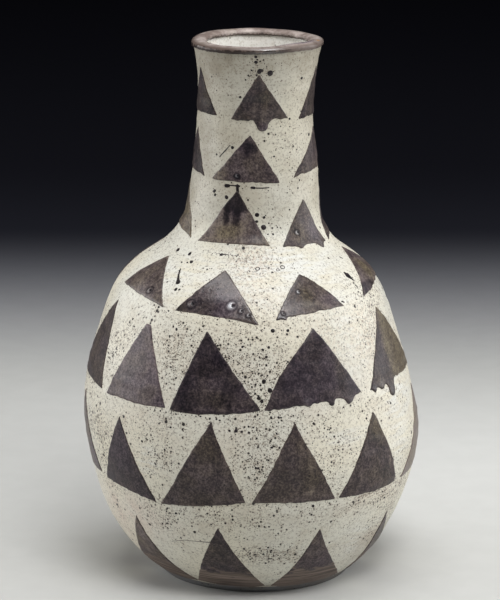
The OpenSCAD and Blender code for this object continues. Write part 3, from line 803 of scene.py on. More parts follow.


# Triangles: each is cut freehand, so a row gives its front ones by their corners (azimuth, height) and spaces
# the rest behind. Bows are of its base, right and left. Drips are azimuth, width and length. Blisters are
# azimuth, height, width and how strong the painted glint inside is. Shades and hues are azimuth, height, half
# width, half height, the change of tone or of mauve and, for some, how crisp the edge is
rowForms = [
    {"node": "neck_top_triangles", "count": 5, "seed": 41, "front": [
        {"corners": [(-92, 332), (-66, 362.5), (-41, 332)], "bow": (0, -0.8, 0), "tone": 0.36, "gloss": 0,
         "hues": [(-55, 345, 5, 8, -0.4)]},
        {"corners": [(-23.5, 331), (1.4, 361), (32, 331)], "tone": 0.47, "mauve": 0.4, "gloss": 0.5,
         "ragged": 0.3, "drips": [(6.5, 8.5, 8.5)],
         "shades": [(-9, 344, 4, 9, -0.2), (2, 344, 2, 12, -0.25), (9, 340, 3, 10, 0.12),
                    (7, 325, 4, 4, 0.15)],
         "hues": [(-9, 344, 5, 9, 0.4), (9, 342, 3, 9, -0.2), (7, 325, 5, 5, 0.5)]},
        {"corners": [(48, 330), (76.5, 362), (105, 329)], "bow": (0, 0, 1.2), "tone": 0.40, "gloss": 0,
         "ragged": 0.5}]},
    {"node": "neck_middle_triangles", "count": 5, "seed": 42, "front": [
        {"corners": [(-106, 291), (-75.5, 319.5), (-53.5, 289)], "bow": (0, -1.2, 0), "tone": 0.36,
         "gloss": 0},
        {"corners": [(-40.7, 288.6), (-5.4, 319.5), (23.5, 286.6)], "bow": (0.3, 0, -0.3), "tone": 0.60,
         "mauve": 0.58, "ragged": 0.22,
         "shades": [(-6, 312, 4.5, 5, -0.55), (-16, 291, 3, 2, -0.4), (-34, 291, 5, 4, 0.15),
                    (10, 296, 6, 5, -0.1)],
         "hues": [(-8, 310, 6, 6, 0.3), (-32, 292, 6, 5, -0.4)], "blisters": [(-16, 292, 3.4, 0.15)]},
        {"corners": [(39, 289.2), (79.5, 319.5), (104, 291)], "tone": 0.48, "gloss": 0.1, "ragged": 0.3,
         "shades": [(75, 294, 10, 6, 0.15)]}]},
    {"node": "neck_low_triangles", "count": 6, "seed": 43, "front": [
        {"corners": [(-116, 248), (-92, 281), (-53, 246.4)], "tone": 0.76, "mauve": 0.15},
        {"corners": [(-43.5, 246), (-14.8, 281), (13.6, 245.2)], "bow": (1.4, -0.5, 0.4), "tone": 0.87,
         "mauve": 0.42, "gloss": 0.4, "ragged": 0.12,
         "shades": [(-15, 274.2, 13, 8.2, -0.74, 4), (-14.2, 264, 3.0, 6.5, -0.68, 3),
                    (-23.2, 264, 2.5, 6.5, -0.66, 3), (2, 253, 6, 11, -0.25)],
         "hues": [(4, 254, 6, 10, 0.3), (-20, 254, 11, 8, -0.18), (-13.5, 270, 7, 9, 0.3)]},
        {"corners": [(24.6, 244.2), (48.2, 273), (67.5, 241.4)], "bow": (1.4, 1.4, 0), "tone": 0.57,
         "mauve": 0.4, "gloss": 0.4, "ragged": 0.5, "drips": [(60, 5.5, 4.2), (39, 6, 2)],
         "blisters": [(38, 251.5, 4.0, 0.4)], "hues": [(58, 250, 6, 8, 0.4)]},
        {"corners": [(74, 241.5), (97, 277), (120, 243)], "tone": 0.5}]},
    {"node": "shoulder_triangles", "count": 8, "seed": 44, "clear": 24, "front": [
        {"corners": [(-73, 213.2), (-60, 233), (-38.4, 207.8)], "bow": (1.0, -0.4, 0.3), "tone": 0.68,
         "gloss": 0.5, "blisters": [(-50, 215, 5.0, 0.1)]},
        # Its lighter shades and bluer hues through the middle are a painted sheen, its largest blister's
        # white a painted glint
        {"corners": [(-31.4, 207), (-14.2, 231), (4.2, 201.4)], "bow": (0.4, -0.2, -1.1), "tone": 0.58,
         "mauve": 0.55, "gloss": 1.0, "ragged": 0.12,
         "shades": [(-6, 215, 7, 16, 0.26), (-30, 209, 5, 4, -0.38), (-13, 221, 3, 9, 0.07),
                    (-22, 212, 8, 6, -0.1)],
         "hues": [(-30, 209, 7, 5, -0.5), (-10, 214, 14, 12, 0.4)],
         "blisters": [(-7, 212.3, 7.0, 0.85), (-25, 211.7, 6.2, 0), (-2.8, 209.5, 3.4, 0.25),
                      (0.4, 207, 3.4, 0.25)]},
        # The lighter shade at its lower left is a painted sheen, and the whiter blister near its middle a
        # painted glint
        {"corners": [(12, 204.2), (28.3, 228), (44.8, 207)], "bow": (0.9, 0, 0.3), "tone": 0.58,
         "mauve": 0.55, "gloss": 0.8, "ragged": 0.35, "drips": [(15.5, 3.5, 2)],
         "shades": [(17, 210, 7, 4, 0.2), (36, 212, 8, 6, 0.1), (13.6, 205, 4, 1.6, -0.3)],
         "hues": [(27, 217, 5, 8, -0.4), (38, 212, 8, 6, 0.4)],
         "blisters": [(15, 207.5, 3.0, 0.1), (23.9, 219, 3.2, 0.45)]},
        {"corners": [(60.2, 208), (85, 233.5), (103, 210)], "bow": (0.5, 0, 0.5), "tone": 0.74,
         "ragged": 0.3, "shades": [(68, 212, 14, 5, -0.4, 4), (84, 229.5, 8, 4, -0.25, 3)],
         "hues": [(82, 220, 9, 8, -0.7), (66, 212, 8, 6, 0.4)]}]},
    {"node": "belly_high_triangles", "count": 10, "seed": 45, "front": [
        {"corners": [(-93, 147), (-69.5, 202.5), (-62.5, 144.2)], "bow": (0, -0.2, 0), "tone": 0.48,
         "gloss": 0},
        {"corners": [(-58, 143.3), (-43, 198.5), (-29.4, 143.9)], "bow": (0.4, 0, 0), "tone": 0.72,
         "blunt": 4.6, "mauve": 0.82},
        {"corners": [(-27.2, 143.8), (-16, 195.4), (4.3, 146.2)], "bow": (3.0, -0.4, -0.4), "tone": 0.25,
         "mauve": 0.75,
         "shades": [(-14, 158, 12, 9, 0.22), (-2, 153, 8, 9.5, 0.22, 4), (-12, 146, 14, 1.4, 0.35)],
         "hues": [(-8, 152, 12, 8, -0.3)]},
        # Its lighter shades are a painted sheen
        {"corners": [(6.2, 146.4), (26.6, 196.2), (43.4, 150)], "bow": (1.0, 0, 2.2), "tone": 0.37,
         "mauve": 0.85, "gloss": 0.5, "ragged": 0.4, "drips": [(30.4, 5, 4), (37.8, 7, 5), (21, 6, 1)],
         "shades": [(34, 172, 5, 12, 0.16), (34, 151, 8, 4, 0.15)],
         "hues": [(36, 168, 5, 12, -0.5), (20, 165, 10, 14, 0.3)]},
        {"corners": [(48.6, 149.7), (66.4, 198.5), (90, 149)], "bow": (0, 0, -0.6), "tone": 0.44,
         "ragged": 0.3, "drips": [(50.5, 4.5, 2.6), (55, 7, 2.6), (61, 8, 11)],
         "shades": [(77, 170, 27, 60, 0.34, 7)], "hues": [(77, 170, 27, 60, -0.6, 7)]}]},
    {"node": "belly_low_triangles", "count": 11, "seed": 46, "front": [
        {"corners": [(-94, 80), (-80, 134), (-67, 81.5)], "tone": 0.66, "hues": [(-72, 90, 9, 12, 0.4)]},
        {"corners": [(-62, 80), (-49.5, 130), (-36, 74.5)], "bow": (-1.6, 0, 0.2), "tone": 0.43,
         "mauve": 0.75, "hues": [(-50, 105, 14, 20, 0.3)]},
        {"corners": [(-33.2, 74.6), (-12.5, 137), (-3, 82)], "bow": (0.2, -0.8, -0.3), "tone": 0.49,
         "shades": [(-9, 110, 5, 7, 0.12), (-14, 80, 20, 2, -0.1)], "hues": [(-14, 120, 8, 10, -0.3)]},
        {"corners": [(0.1, 82), (16, 136), (28.7, 80)], "bow": (-0.6, -0.8, 0), "tone": 0.52,
         "shades": [(20, 108, 4, 8, 0.2), (22, 86, 9, 3, 0.12)], "hues": [(20, 100, 9, 20, -0.4)]},
        {"corners": [(31, 80), (47.6, 134.5), (59.1, 79)], "bow": (0.6, 0.4, 0.6), "tone": 0.50,
         "ragged": 0.25, "shades": [(48, 126, 6, 9, 0.16), (54, 100, 4, 8, 0.2), (36, 84, 7, 5, -0.16)],
         "hues": [(48, 122, 7, 10, -0.4)]},
        {"corners": [(64.5, 79), (84, 135.5), (99, 80)], "tone": 1.0}]},
    {"node": "foot_triangles", "count": 10, "seed": 47, "wornBelow": 22.5, "front": [
        {"corners": [(-71, 8), (-48, 58.5), (-33, 8)], "bow": (0, -1.8, 0.8), "tone": 0.66,
         "shades": [(-48, 40, 6, 12, 0.1)]},
        {"corners": [(-31.5, 8.5), (-12.5, 61), (4.8, 7.5)], "bow": (0, 0.8, 1.2), "tone": 0.42,
         "mauve": 0.65, "hues": [(-15, 45, 9, 12, -0.2)]},
        {"corners": [(9, 7.5), (25, 56.5), (49.5, 8)], "bow": (0, -1.0, 0.2), "tone": 0.58,
         "hues": [(28, 30, 15, 14, 0.3)]},
        {"corners": [(58.5, 8), (61.5, 54), (92, 8)], "tone": 0.55}]},
]
padForm = {
    "edgeStep": 0.8,  # between points along an edge
    "tip": 1.3,  # corners are drawn out this far, because smoothing rounds them
    "round": 0.8, "wobble": 0.14, "ragged": 0.18,
    "shake": (1.6, 2.2), "drift": (9, 5), "driftShare": 1.5,  # the edge's fine and slow swings: reach, size
    "downward": -0.6,  # an edge that faces down this much carries the drips
    "flare": 0.34, "flareReach": 0.42,  # of a drip, where it leaves the edge
    "rise": 0.42, "sunk": 0.3, "shoulder": 0.8, "bead": 0.10, "beadAt": 1.6, "beadWide": 0.8,
    "wave": 0.04, "waves": (8, 40, (6, 30), 0.5), "waveSeed": 100,
    "gloss": 0.25, "mauve": 0.5, "crisp": 1.5, "dripRise": 0.45, "dripGloss": 0.5,
    # Points under the relief: rings in from the edge, then a grid, and a coarser one below
    "insets": (0.12, 0.3, 0.6, 1.1, 1.7), "insetClear": 0.9, "innerClear": 1.4,
    "inner": 1.15, "under": 8.0, "gridRow": 0.87, "gridClear": 0.75,
    "wornWaves": (61, 9, 60, (3, 12), 0.9), "wornFade": 0.9,
}
# A burst bubble: its form in shares of its width, then how much it changes the tone, with painted shade in
# the pit, and the painted glint
blisterForm = {
    "dome": 0.36, "pit": 0.20, "pitAt": (0.16, 0.04), "rise": 0.14, "depth": 0.12,
    "ringAt": 1.5, "ringWide": 0.4,  # these two in shares of the dome
    # painted shade darkens the pit, and the dome carries a painted highlight
    "domeTone": 0.25, "pitTone": 1.0, "ringTone": 0.4, "domeGlint": 1.6, "pitGlint": 2.4,
    "circles": 7, "circlesPerWidth": 10, "fewest": 5, "more": 3,  # circles of points, and how many on each
}
farForm = {
    "gap": 7, "jitter": 2.0, "startSway": 0.4, "baseSway": 0.7,
    "tone": (0.35, 0.8), "mauve": (0.25, 0.75), "ragged": (0.12, 0.45),
    "shades": 3, "shadeWide": (4, 12), "shadeHigh": (5, 16), "change": 0.3,
    "dripShare": 0.4, "dripAt": (0.25, 0.75), "dripWidth": (4, 8), "dripLength": (1.5, 8),
    "blisterShare": 0.35, "blisterAt": (0.4, 0.6), "blisterUp": (0.2, 0.4), "blisterWidth": (2.6, 5.0),
    "pearl": 0.15,
}


# Places (azimuth, height) on the flattened wall, from a middle azimuth, and back
def flatten(places, middle):
    at, level = np.array(places, float).T
    return np.column_stack(((np.radians(at) - middle) * wallRadius(level), wallLength(level)))


def unflatten(flat):
    height = wallHeight(flat[:, 1])
    return flat[:, 0] / wallRadius(height), height


def unit(vectors):
    return vectors / np.maximum(np.hypot(*vectors.T), 1e-9)[:, None]


def rightOf(vectors):
    return np.column_stack((vectors[:, 1], -vectors[:, 0]))


# Edge between two corners, as straight as the curved wall lets it be, bowed outward by the potter's hand
def straightEdge(start, end, bow):
    ends = [polar(np.array([at]), wallRadius(level), np.array([level]))[0] for at, level in (start, end)]
    count = max(int(np.linalg.norm(ends[1] - ends[0]) / padForm["edgeStep"]), 3)
    chord = ends[0] + np.arange(count)[:, None] / count * (ends[1] - ends[0])
    radius = np.hypot(chord[:, 0], chord[:, 1])
    near = np.argmin((radius[:, None] - outlineRadius) ** 2 + (chord[:, 2:] - outlineHeights) ** 2, axis=1)
    lean = outlineLean[near]
    above, beyond = chord[:, 2] - outlineHeights[near], radius - outlineRadius[near]
    along = above * np.cos(lean) - beyond * np.sin(lean)
    height = outlineHeights[near] + along * np.cos(lean)
    flat = np.column_stack((np.arctan2(chord[:, 0], -chord[:, 1]) * wallRadius(height), wallLength(height)))
    across, rise = flat[-1] - flat[0]
    share = np.linspace(0, 1, count)
    return flat + bow * np.outer(4 * share * (1 - share), (rise, -across)) / math.hypot(across, rise)


# Points at even steps along a line
def stepAlong(line, length, marks):
    return np.column_stack([np.interp(marks, length, line[:, k]) for k in (0, 1)])


def evenLoop(loop, step):
    closed = np.vstack((loop, loop[:1]))
    length = runLength(closed)
    count = int(round(length[-1] / step))
    return stepAlong(closed, length, np.arange(count) * length[-1] / count)


def smoothLoop(loop, reach):
    return np.column_stack([soften(loop[:, k], reach, wrap=True) for k in (0, 1)])


def loopNormals(loop):
    return rightOf(unit(np.roll(loop, -1, 0) - np.roll(loop, 1, 0)))


def edgeDistance(points, loop):
    step = np.roll(loop, -1, 0) - loop
    rest = points[:, None] - loop
    share = np.clip((rest * step).sum(-1) / np.maximum((step ** 2).sum(-1), 1e-12), 0, 1)
    return np.sqrt(((rest - share[..., None] * step) ** 2).sum(-1)).min(1)


def isInside(points, loop):
    start, end = loop, np.roll(loop, -1, 0)
    crosses = (start[:, 1] > points[:, 1:]) != (end[:, 1] > points[:, 1:])
    rise = np.where(end[:, 1] == start[:, 1], 1, end[:, 1] - start[:, 1])
    at = start[:, 0] + (points[:, 1:] - start[:, 1]) / rise * (end[:, 0] - start[:, 0])
    return (crosses & (points[:, :1] < at)).sum(1) % 2 == 1


# How far a drip hangs below its edge: a round bulb with upright sides, and a flare above it
def dripReach(across, width, length):
    ratio = np.abs(across) / (width / 2)
    bulb = length - width / 2 * (1 - np.sqrt(np.clip(1 - ratio ** 2, 0, 1)))
    flare = padForm["flare"] * length * bell((np.maximum(ratio, 1) - 1) / padForm["flareReach"])
    return np.where(ratio < 1, np.maximum(bulb, flare), flare)


# Where a triangle's drips leave its base, on the flattened wall
def dripsOf(spec, middle):
    return [(*flatten([(at, spec["corners"][0][1])], middle)[0], width, length)
            for at, width, length in spec.get("drips", ())]


# Outline of one triangle on the flattened wall, from its own middle azimuth
def cutTriangle(spec, middle, draw):
    corners = flatten(spec["corners"], middle)
    corners += padForm["tip"] * unit(corners - corners.mean(0))
    left, apex, right = zip(*unflatten(corners))
    sides = ((left, right), (right, apex), (apex, left))
    loop = np.vstack([straightEdge(*side, bow) for side, bow in zip(sides, spec.get("bow", (0, 0, 0)))])
    loop = evenLoop(loop, padForm["edgeStep"] / 2)
    if "blunt" in spec:
        loop[:, 1] = np.minimum(loop[:, 1], loop[:, 1].max() - spec["blunt"])
    down = loopNormals(loop)[:, 1] < padForm["downward"]
    for u, _, width, length in dripsOf(spec, middle):
        loop[down, 1] -= dripReach(loop[down, 0] - u, width, length)
    loop = smoothLoop(evenLoop(loop, padForm["edgeStep"]), padForm["round"])
    normals = loopNormals(loop)
    shake, drift = (soften(draw.normal(size=len(loop)), reach, wrap=True) * size
                    for reach, size in (padForm["shake"], padForm["drift"]))
    lower = np.clip(-normals[:, 1], 0, 1)
    amount = padForm["wobble"] * (1 - lower) + spec.get("ragged", padForm["ragged"]) * lower
    return loop + normals * (amount * shake + padForm["wobble"] * padForm["driftShare"] * drift)[:, None]


def gridOver(loop, step):
    low, high = loop.min(0), loop.max(0)
    rows = np.arange(low[1], high[1], step * padForm["gridRow"])
    columns = np.arange(low[0], high[0], step)
    points = [(u + step / 2 * (k % 2), v) for k, v in enumerate(rows) for u in columns]
    points = np.array(points).reshape(-1, 2)
    points = points[isInside(points, loop)]
    return points[edgeDistance(points, loop) > step * padForm["gridClear"]]


# Faces over a loop, with the extra points that its relief needs
def fillLoop(loop, extra):
    points = [Vector(point) for point in np.vstack((loop, extra)).tolist()]
    made = geometry.delaunay_2d_cdt(points, [], [list(range(len(loop)))], 1, 1e-6)
    return np.array([tuple(point) for point in made[0]]), made[2]


def padPoints(loop, blisters, form):
    normals = loopNormals(loop)
    rings = []
    for inset in form["insets"]:
        ring = loop - normals * inset
        ring = ring[isInside(ring, loop)]
        rings.append(ring[edgeDistance(ring, loop) > inset * form["insetClear"]])
    inner = gridOver(loop, form["inner"])
    rings.append(inner[edgeDistance(inner, loop) > form["insets"][-1] * form["innerClear"]])
    for u, v, size, _ in blisters:
        for k in range(1, blisterForm["circles"] + 1):
            around = fullTurn(blisterForm["more"] * k + blisterForm["fewest"])
            reach = size * k / blisterForm["circlesPerWidth"]
            ring = np.column_stack((u + reach * np.cos(around), v + reach * np.sin(around)))
            rings.append(ring[isInside(ring, loop)])
    return np.vstack(rings)


# A burst bubble: a low dome, a pit to the right of its middle, and the dark ring round both
def blister(flat, u, v, size):
    right, up = blisterForm["pitAt"]
    dome = np.hypot(flat[:, 0] - u, flat[:, 1] - v) / (blisterForm["dome"] * size)
    pit = np.hypot(flat[:, 0] - u - right * size, flat[:, 1] - v - up * size) / (blisterForm["pit"] * size)
    return bell(dome), np.exp(-pit ** 4), bell((dome - blisterForm["ringAt"]) / blisterForm["ringWide"])


def wash(flat, middle, base, patches):
    total = np.full(len(flat), float(base))
    for at, level, wide, high, change, *crisp in patches:
        u, v = flatten([(at, level)], middle)[0]
        away = ((flat[:, 0] - u) / wide) ** 2 + ((flat[:, 1] - v) / high) ** 2
        total += change * np.exp(-away ** (crisp[0] if crisp else padForm["crisp"]))
    return total


wornWaves = makeWaves(*padForm["wornWaves"])


# A raised patch of glaze over an outline, closed below, with its painted values
def makePad(loop, middle, spec, form, waves, wornBelow=None):
    blisters = [(*flatten([(at, level)], middle)[0], *rest) for at, level, *rest in spec.get("blisters", ())]
    top, topFaces = fillLoop(loop, padPoints(loop, blisters, form))
    under, underFaces = fillLoop(loop, gridOver(loop, form["under"]))
    depth = edgeDistance(top, loop)
    turned, height = unflatten(top)
    azimuth = middle + turned
    crown = np.sqrt(1 - (1 - np.clip(depth / form["shoulder"], 0, 1)) ** 2)
    lift = (form["sunk"] + form["rise"]) * crown - form["sunk"]
    lift += form["bead"] * bell((depth - form["beadAt"]) / form["beadWide"])
    lift += form["wave"] * crown * ripple(waves, azimuth, height)
    tone = wash(top, middle, spec["tone"], spec.get("shades", ()))
    mauve = wash(top, middle, spec.get("mauve", form["mauve"]), spec.get("hues", ()))
    gloss = np.full(len(top), spec.get("gloss", form["gloss"]))
    pearl, worn = np.zeros(len(top)), np.zeros(len(top))
    for u, v, size, glint in blisters:
        dome, pit, ring = blister(top, u, v, size)
        lift += crown * size * (blisterForm["rise"] * dome - blisterForm["depth"] * pit)
        # painted highlight on the dome, painted shade in the pit
        tone += blisterForm["domeTone"] * dome ** 2
        tone -= blisterForm["pitTone"] * pit + blisterForm["ringTone"] * ring
        pearl += glint * np.clip(blisterForm["domeGlint"] * dome ** 2 - blisterForm["pitGlint"] * pit, 0, 1)
        gloss *= 1 - np.maximum(pit, ring)
    for u, v, width, length in dripsOf(spec, middle):
        bulb = bell(np.hypot(top[:, 0] - u, top[:, 1] - v + length - width / 2) / (width / 2))
        lift += crown * form["dripRise"] * bulb
        gloss += form["dripGloss"] * bulb
    if wornBelow:
        line = wornBelow + ripple(wornWaves, azimuth, height)
        worn = np.clip((line - height) / form["wornFade"], 0, 1)
    shades = {"tone": tone, "edge": depth, "worn": worn, "pearl": pearl, "gloss": gloss, "mauve": mauve}
    for label, values in shades.items():
        shades[label] = np.append(values, np.full(len(under), values.mean()))
    turned, underHeight = unflatten(under)
    points = np.vstack((onWall(azimuth, height, lift), onWall(middle + turned, underHeight, -form["sunk"])))
    return points, topFaces + [[len(top) + k for k in reversed(face)] for face in underFaces], shades


# A triangle on the far side, drawn at random
def farTriangle(start, wide, low, high, draw):
    sway = draw.uniform(-farForm["jitter"], farForm["jitter"], 5)
    spec = {label: draw.uniform(*farForm[label]) for label in ("tone", "mauve", "ragged")}
    spec["corners"] = [(start + farForm["startSway"] * sway[0], low + farForm["baseSway"] * sway[1]),
                       (start + wide / 2 + sway[2], high + sway[3]),
                       (start + wide, low + farForm["baseSway"] * sway[4])]
    spec["shades"] = [(start + wide * draw.random(), draw.uniform(low, high),
                       draw.uniform(*farForm["shadeWide"]), draw.uniform(*farForm["shadeHigh"]),
                       draw.uniform(-1, 1) * farForm["change"]) for _ in range(farForm["shades"])]
    if draw.random() < farForm["dripShare"]:
        spec["drips"] = [(start + wide * draw.uniform(*farForm["dripAt"]),
                          draw.uniform(*farForm["dripWidth"]), draw.uniform(*farForm["dripLength"]))]
    if draw.random() < farForm["blisterShare"]:
        spec["blisters"] = [(start + wide * draw.uniform(*farForm["blisterAt"]),
                             low + (high - low) * draw.uniform(*farForm["blisterUp"]),
                             draw.uniform(*farForm["blisterWidth"]), farForm["pearl"])]
    return spec


# The front triangles and, in the room that they leave, even ones behind
def rowTriangles(row, draw):
    front = row["front"]
    low, high = (np.mean([spec["corners"][k][1] for spec in front]) for k in (0, 1))
    gap = math.degrees(farForm["gap"] / wallRadius(low))
    start = front[-1]["corners"][2][0] + gap
    end = front[0]["corners"][0][0] + 360 - row.get("clear", gap)
    behind = row["count"] - len(front)
    pitch = (end - start + gap) / behind
    return front + [farTriangle(start + k * pitch, pitch - gap, low, high, draw) for k in range(behind)]


# The top of a pad and its underside share their edge
def weldSeams(piece):
    seam = bmesh.new()
    seam.from_mesh(piece.data)
    bmesh.ops.remove_doubles(seam, verts=seam.verts, dist=weld * mm)
    seam.to_mesh(piece.data)
    seam.free()


def addRow(row):
    draw = np.random.default_rng(row["seed"])
    waves = makeWaves(row["seed"] + padForm["waveSeed"], *padForm["waves"])
    triangles = rowTriangles(row, draw)
    pads = []
    for spec in triangles:
        middle = math.radians(spec["corners"][1][0])
        loop = cutTriangle(spec, middle, draw)
        pads.append(makePad(loop, middle, spec, padForm, waves, row.get("wornBelow")))
    points, faces, shades = gather(pads)
    weldSeams(addPiece(row["node"] + "_glaze", points, faces, iron, "iron_glaze", [row["node"]], **shades))
    return [spec["corners"] for spec in triangles]


allTriangles = [corners for row in rowForms for corners in addRow(row)]
print("triangles:", len(allTriangles), "in", len(rowForms), "rows")


# Iron on the cream: large spots given one by one (azimuth, height, width), the rest drawn in the patches
spotForm = {
    "seed": 51, "sides": 10, "rise": 0.07, "least": 0.06, "sunk": 0.12,
    "wobble": 0.15, "wobbleReach": 1.0, "broad": (0.75, 1),  # how round they are
    "rings": [(1.0, -1.0), (0.86, 0.35), (0.55, 0.85)],
    "tone": 0.04, "shades": {"mauve": 0.5, "edge": 3.0, "worn": 0.0, "pearl": 0.0, "gloss": 0.3},
    "perPatch": 58, "perFarPatch": 30, "patchSize": 10,  # how many in a patch of this size
    "width": (0.65, 2.1), "fewLarge": 3.6,
    "keepOff": 1.3, "reach": (-0.02, 1.05), "margin": 4,  # clear of the triangles and of the coat's ends
    "large": [(-1.9, 373.9, 2.4), (-0.4, 372.2, 1.5), (-1.6, 370.3, 2.9), (5.3, 371.9, 1.4),
              (-5.5, 364.8, 1.4), (2, 364, 4.4), (12, 362.5, 4.6), (47, 357, 2.6), (-16, 346, 2.2),
              (-11, 358, 1.5), (65, 316, 2.8), (-22, 311, 2.7), (-39, 305, 1.7), (-37.6, 280, 3.2),
              (-36.6, 277.4, 2.4), (-24.6, 276.7, 3.4), (32.6, 267.7, 1.4), (3.3, 265.6, 3.4),
              (9.2, 263.8, 2.4), (3, 261.2, 2.6), (9.1, 257.3, 4.2), (16.4, 256.5, 1.6),
              (20.6, 256.8, 1.4), (16.8, 252.4, 1.9), (12.6, 252.6, 1.3), (13.4, 259.8, 1.4),
              (10.4, 265.2, 1.2), (43, 281.4, 1.8), (-44, 237.5, 3.4), (-57, 237.8, 3.4),
              (-20.2, 239.8, 2.9), (-36, 218.8, 2.9), (-42.2, 198.4, 2.3), (-35, 206, 1.8),
              (-45, 232.5, 1.7), (-41, 233, 1.8), (-38.4, 233.7, 3.1), (4, 214.5, 1.5), (8.8, 216.4, 1.4),
              (58, 212, 1.8), (10, 197.5, 3.0), (16, 197, 2.5), (8, 187, 2.2), (7, 181, 2.3),
              (7, 175.5, 2.1), (6, 165, 3.6), (8, 159, 3.7), (4, 154, 3.1), (5, 152, 2.8), (15, 177, 2.0),
              (3, 163, 2.1), (8, 141, 2.3), (10.5, 141, 2.3), (-4, 132.6, 3.0), (-6.2, 132.4, 2.0),
              (-2.2, 131.9, 2.2), (0.2, 131.4, 1.9), (0.2, 135.4, 1.7), (1.8, 134.8, 1.6),
              (11.3, 140.8, 1.7), (44, 131.5, 1.9), (-28, 68.5, 2.4), (20.9, 76.1, 2.6), (29, 61.7, 2.3),
              (2, 62.9, 1.5), (4, 62.8, 1.8), (5.6, 62.7, 1.6), (10, 61.4, 1.5), (12, 59.6, 1.9),
              (6.9, 42.6, 2.2), (30.8, 43.6, 2.0), (-21.6, 55.6, 2.3), (-41.8, 54, 2.6), (-16, 71.5, 1.9)],
    # Runs of small spots: how many, their width, the line (azimuth, height) that they follow
    "trails": [(15, 0.9, [(-34.2, 115.4), (-32.6, 110), (-32.8, 104), (-35.4, 96.3), (-38.8, 92.7)]),
               (7, 1.2, [(27.2, 137), (26.6, 131.5), (28.8, 127)]),
               (12, 0.8, [(28.5, 117), (36, 118.5), (43, 121.5)]), (9, 0.8, [(33, 122.5), (45, 125)]),
               (14, 0.9, [(-27, 239.8), (-16, 240), (-8, 239.5)]),
               (16, 1.3, [(-35, 141.5), (-20, 141), (-8, 139)])],
    "stray": (0.3, 0.5), "trailWidth": (0.7, 1.3),
    # Brown rings of burst bubbles: azimuth, height, width
    "bubbles": [(4.7, 232.6, 2.6), (16.7, 231.6, 2.0), (20, 232.8, 2.8)],
    "bubbleTone": 0.45, "bubbleSpots": 12, "bubbleSpot": 0.36,
}
# Brush strokes of iron: each is a line of azimuth, height and width
strokeForm = {
    **padForm, "edgeStep": 0.35, "round": 0.6, "rise": 0.12, "shoulder": 0.2, "bead": 0, "inner": 0.6,
    "under": 3.0, "insets": (0.08, 0.16, 0.3), "tone": 0.06, "capPoints": 6, "fewest": 4,
    "strokeWaves": (52, 4, 40, (6, 30), 0.5),
    "noRim": 1,  # its edge counts as this far in, so that it has no brown rim
    "lines": [[(-14.6, 279, 2.6), (-14.8, 282, 2.1), (-15.2, 285.3, 2.3)],
              [(-17.5, 285.2, 1.3), (-13.5, 285, 1.6)], [(-26, 284.6, 2.8), (-23.4, 284.8, 2.4)],
              [(-22.5, 285.1, 0.9), (-18.5, 285.2, 1.0)], [(-2.4, 284.2, 1.8), (0, 284, 2.0)],
              [(1.2, 284, 0.9), (7, 283.8, 1.0), (13.5, 284, 0.7)],
              [(-42, 229.5, 0.9), (-40, 226.5, 1.4), (-38.2, 224.2, 2.1), (-37, 222.6, 3.6)],
              [(-35.5, 303.5, 0.7), (-30, 308, 1.1), (-24.5, 312.5, 0.7)],
              [(-33, 44, 0.5), (-27, 47.2, 0.5), (-20, 48, 0.6), (-15.8, 48.4, 0.8)],
              [(57.6, 224, 1.8), (58.2, 222.4, 5.0), (59, 220.6, 2.8), (60, 218.4, 0.9)],
              [(-20.4, 239.8, 1.4), (-17.5, 240, 0.7), (-15, 240, 0.6)],
              [(67.4, 231.4, 1.2), (68.2, 230.2, 1.0)], [(58.6, 216, 1.3), (59.4, 214.6, 1.0)],
              [(44.8, 209.6, 1.4), (46, 208.8, 1.0)]],
}


def nearTriangle(at, level):
    margin = math.degrees(spotForm["keepOff"] / wallRadius(level))
    below, above = spotForm["reach"]
    for left, apex, right in allTriangles:
        share = (level - left[1]) / (apex[1] - left[1])
        if below < share < above:
            low = left[0] + share * (apex[0] - left[0]) - margin
            high = right[0] + share * (apex[0] - right[0]) + margin
            if 0 <= (at - low) % 360 <= high - low:
                return True
    return False


def drawSpots(patches, amount, draw):
    least, most = spotForm["width"]
    low, high = coatLow + spotForm["margin"], coatHigh - spotForm["margin"]
    found = []
    for at, level, wide, tall, strength in patches:
        for _ in range(int(amount * strength * math.sqrt(wide * tall) / spotForm["patchSize"])):
            azimuth, height = draw.normal(at, wide), draw.normal(level, tall)
            width = least + (most - least) * draw.random() ** spotForm["fewLarge"]
            if low < height < high and not nearTriangle(azimuth, height):
                found.append((azimuth, height, width))
    return found


def followTrail(count, width, line, draw):
    share = np.linspace(0, len(line) - 1, count)
    at, level = (np.interp(share, range(len(line)), values) for values in zip(*line))
    aside, up = spotForm["stray"]
    return [(a + aside * draw.normal(), z + up * draw.normal(), width * draw.uniform(*spotForm["trailWidth"]))
            for a, z in zip(at, level)]


# A bubble's rim is a ring of small spots
def drawBubble(at, level, width):
    around = fullTurn(spotForm["bubbleSpots"])
    wide = np.degrees(width / 2 * np.cos(around) / wallRadius(level))
    high = wallHeight(wallLength(level) + width / 2 * np.sin(around))
    return [(at + a, z, spotForm["bubbleSpot"] * width) for a, z in zip(wide, high)]


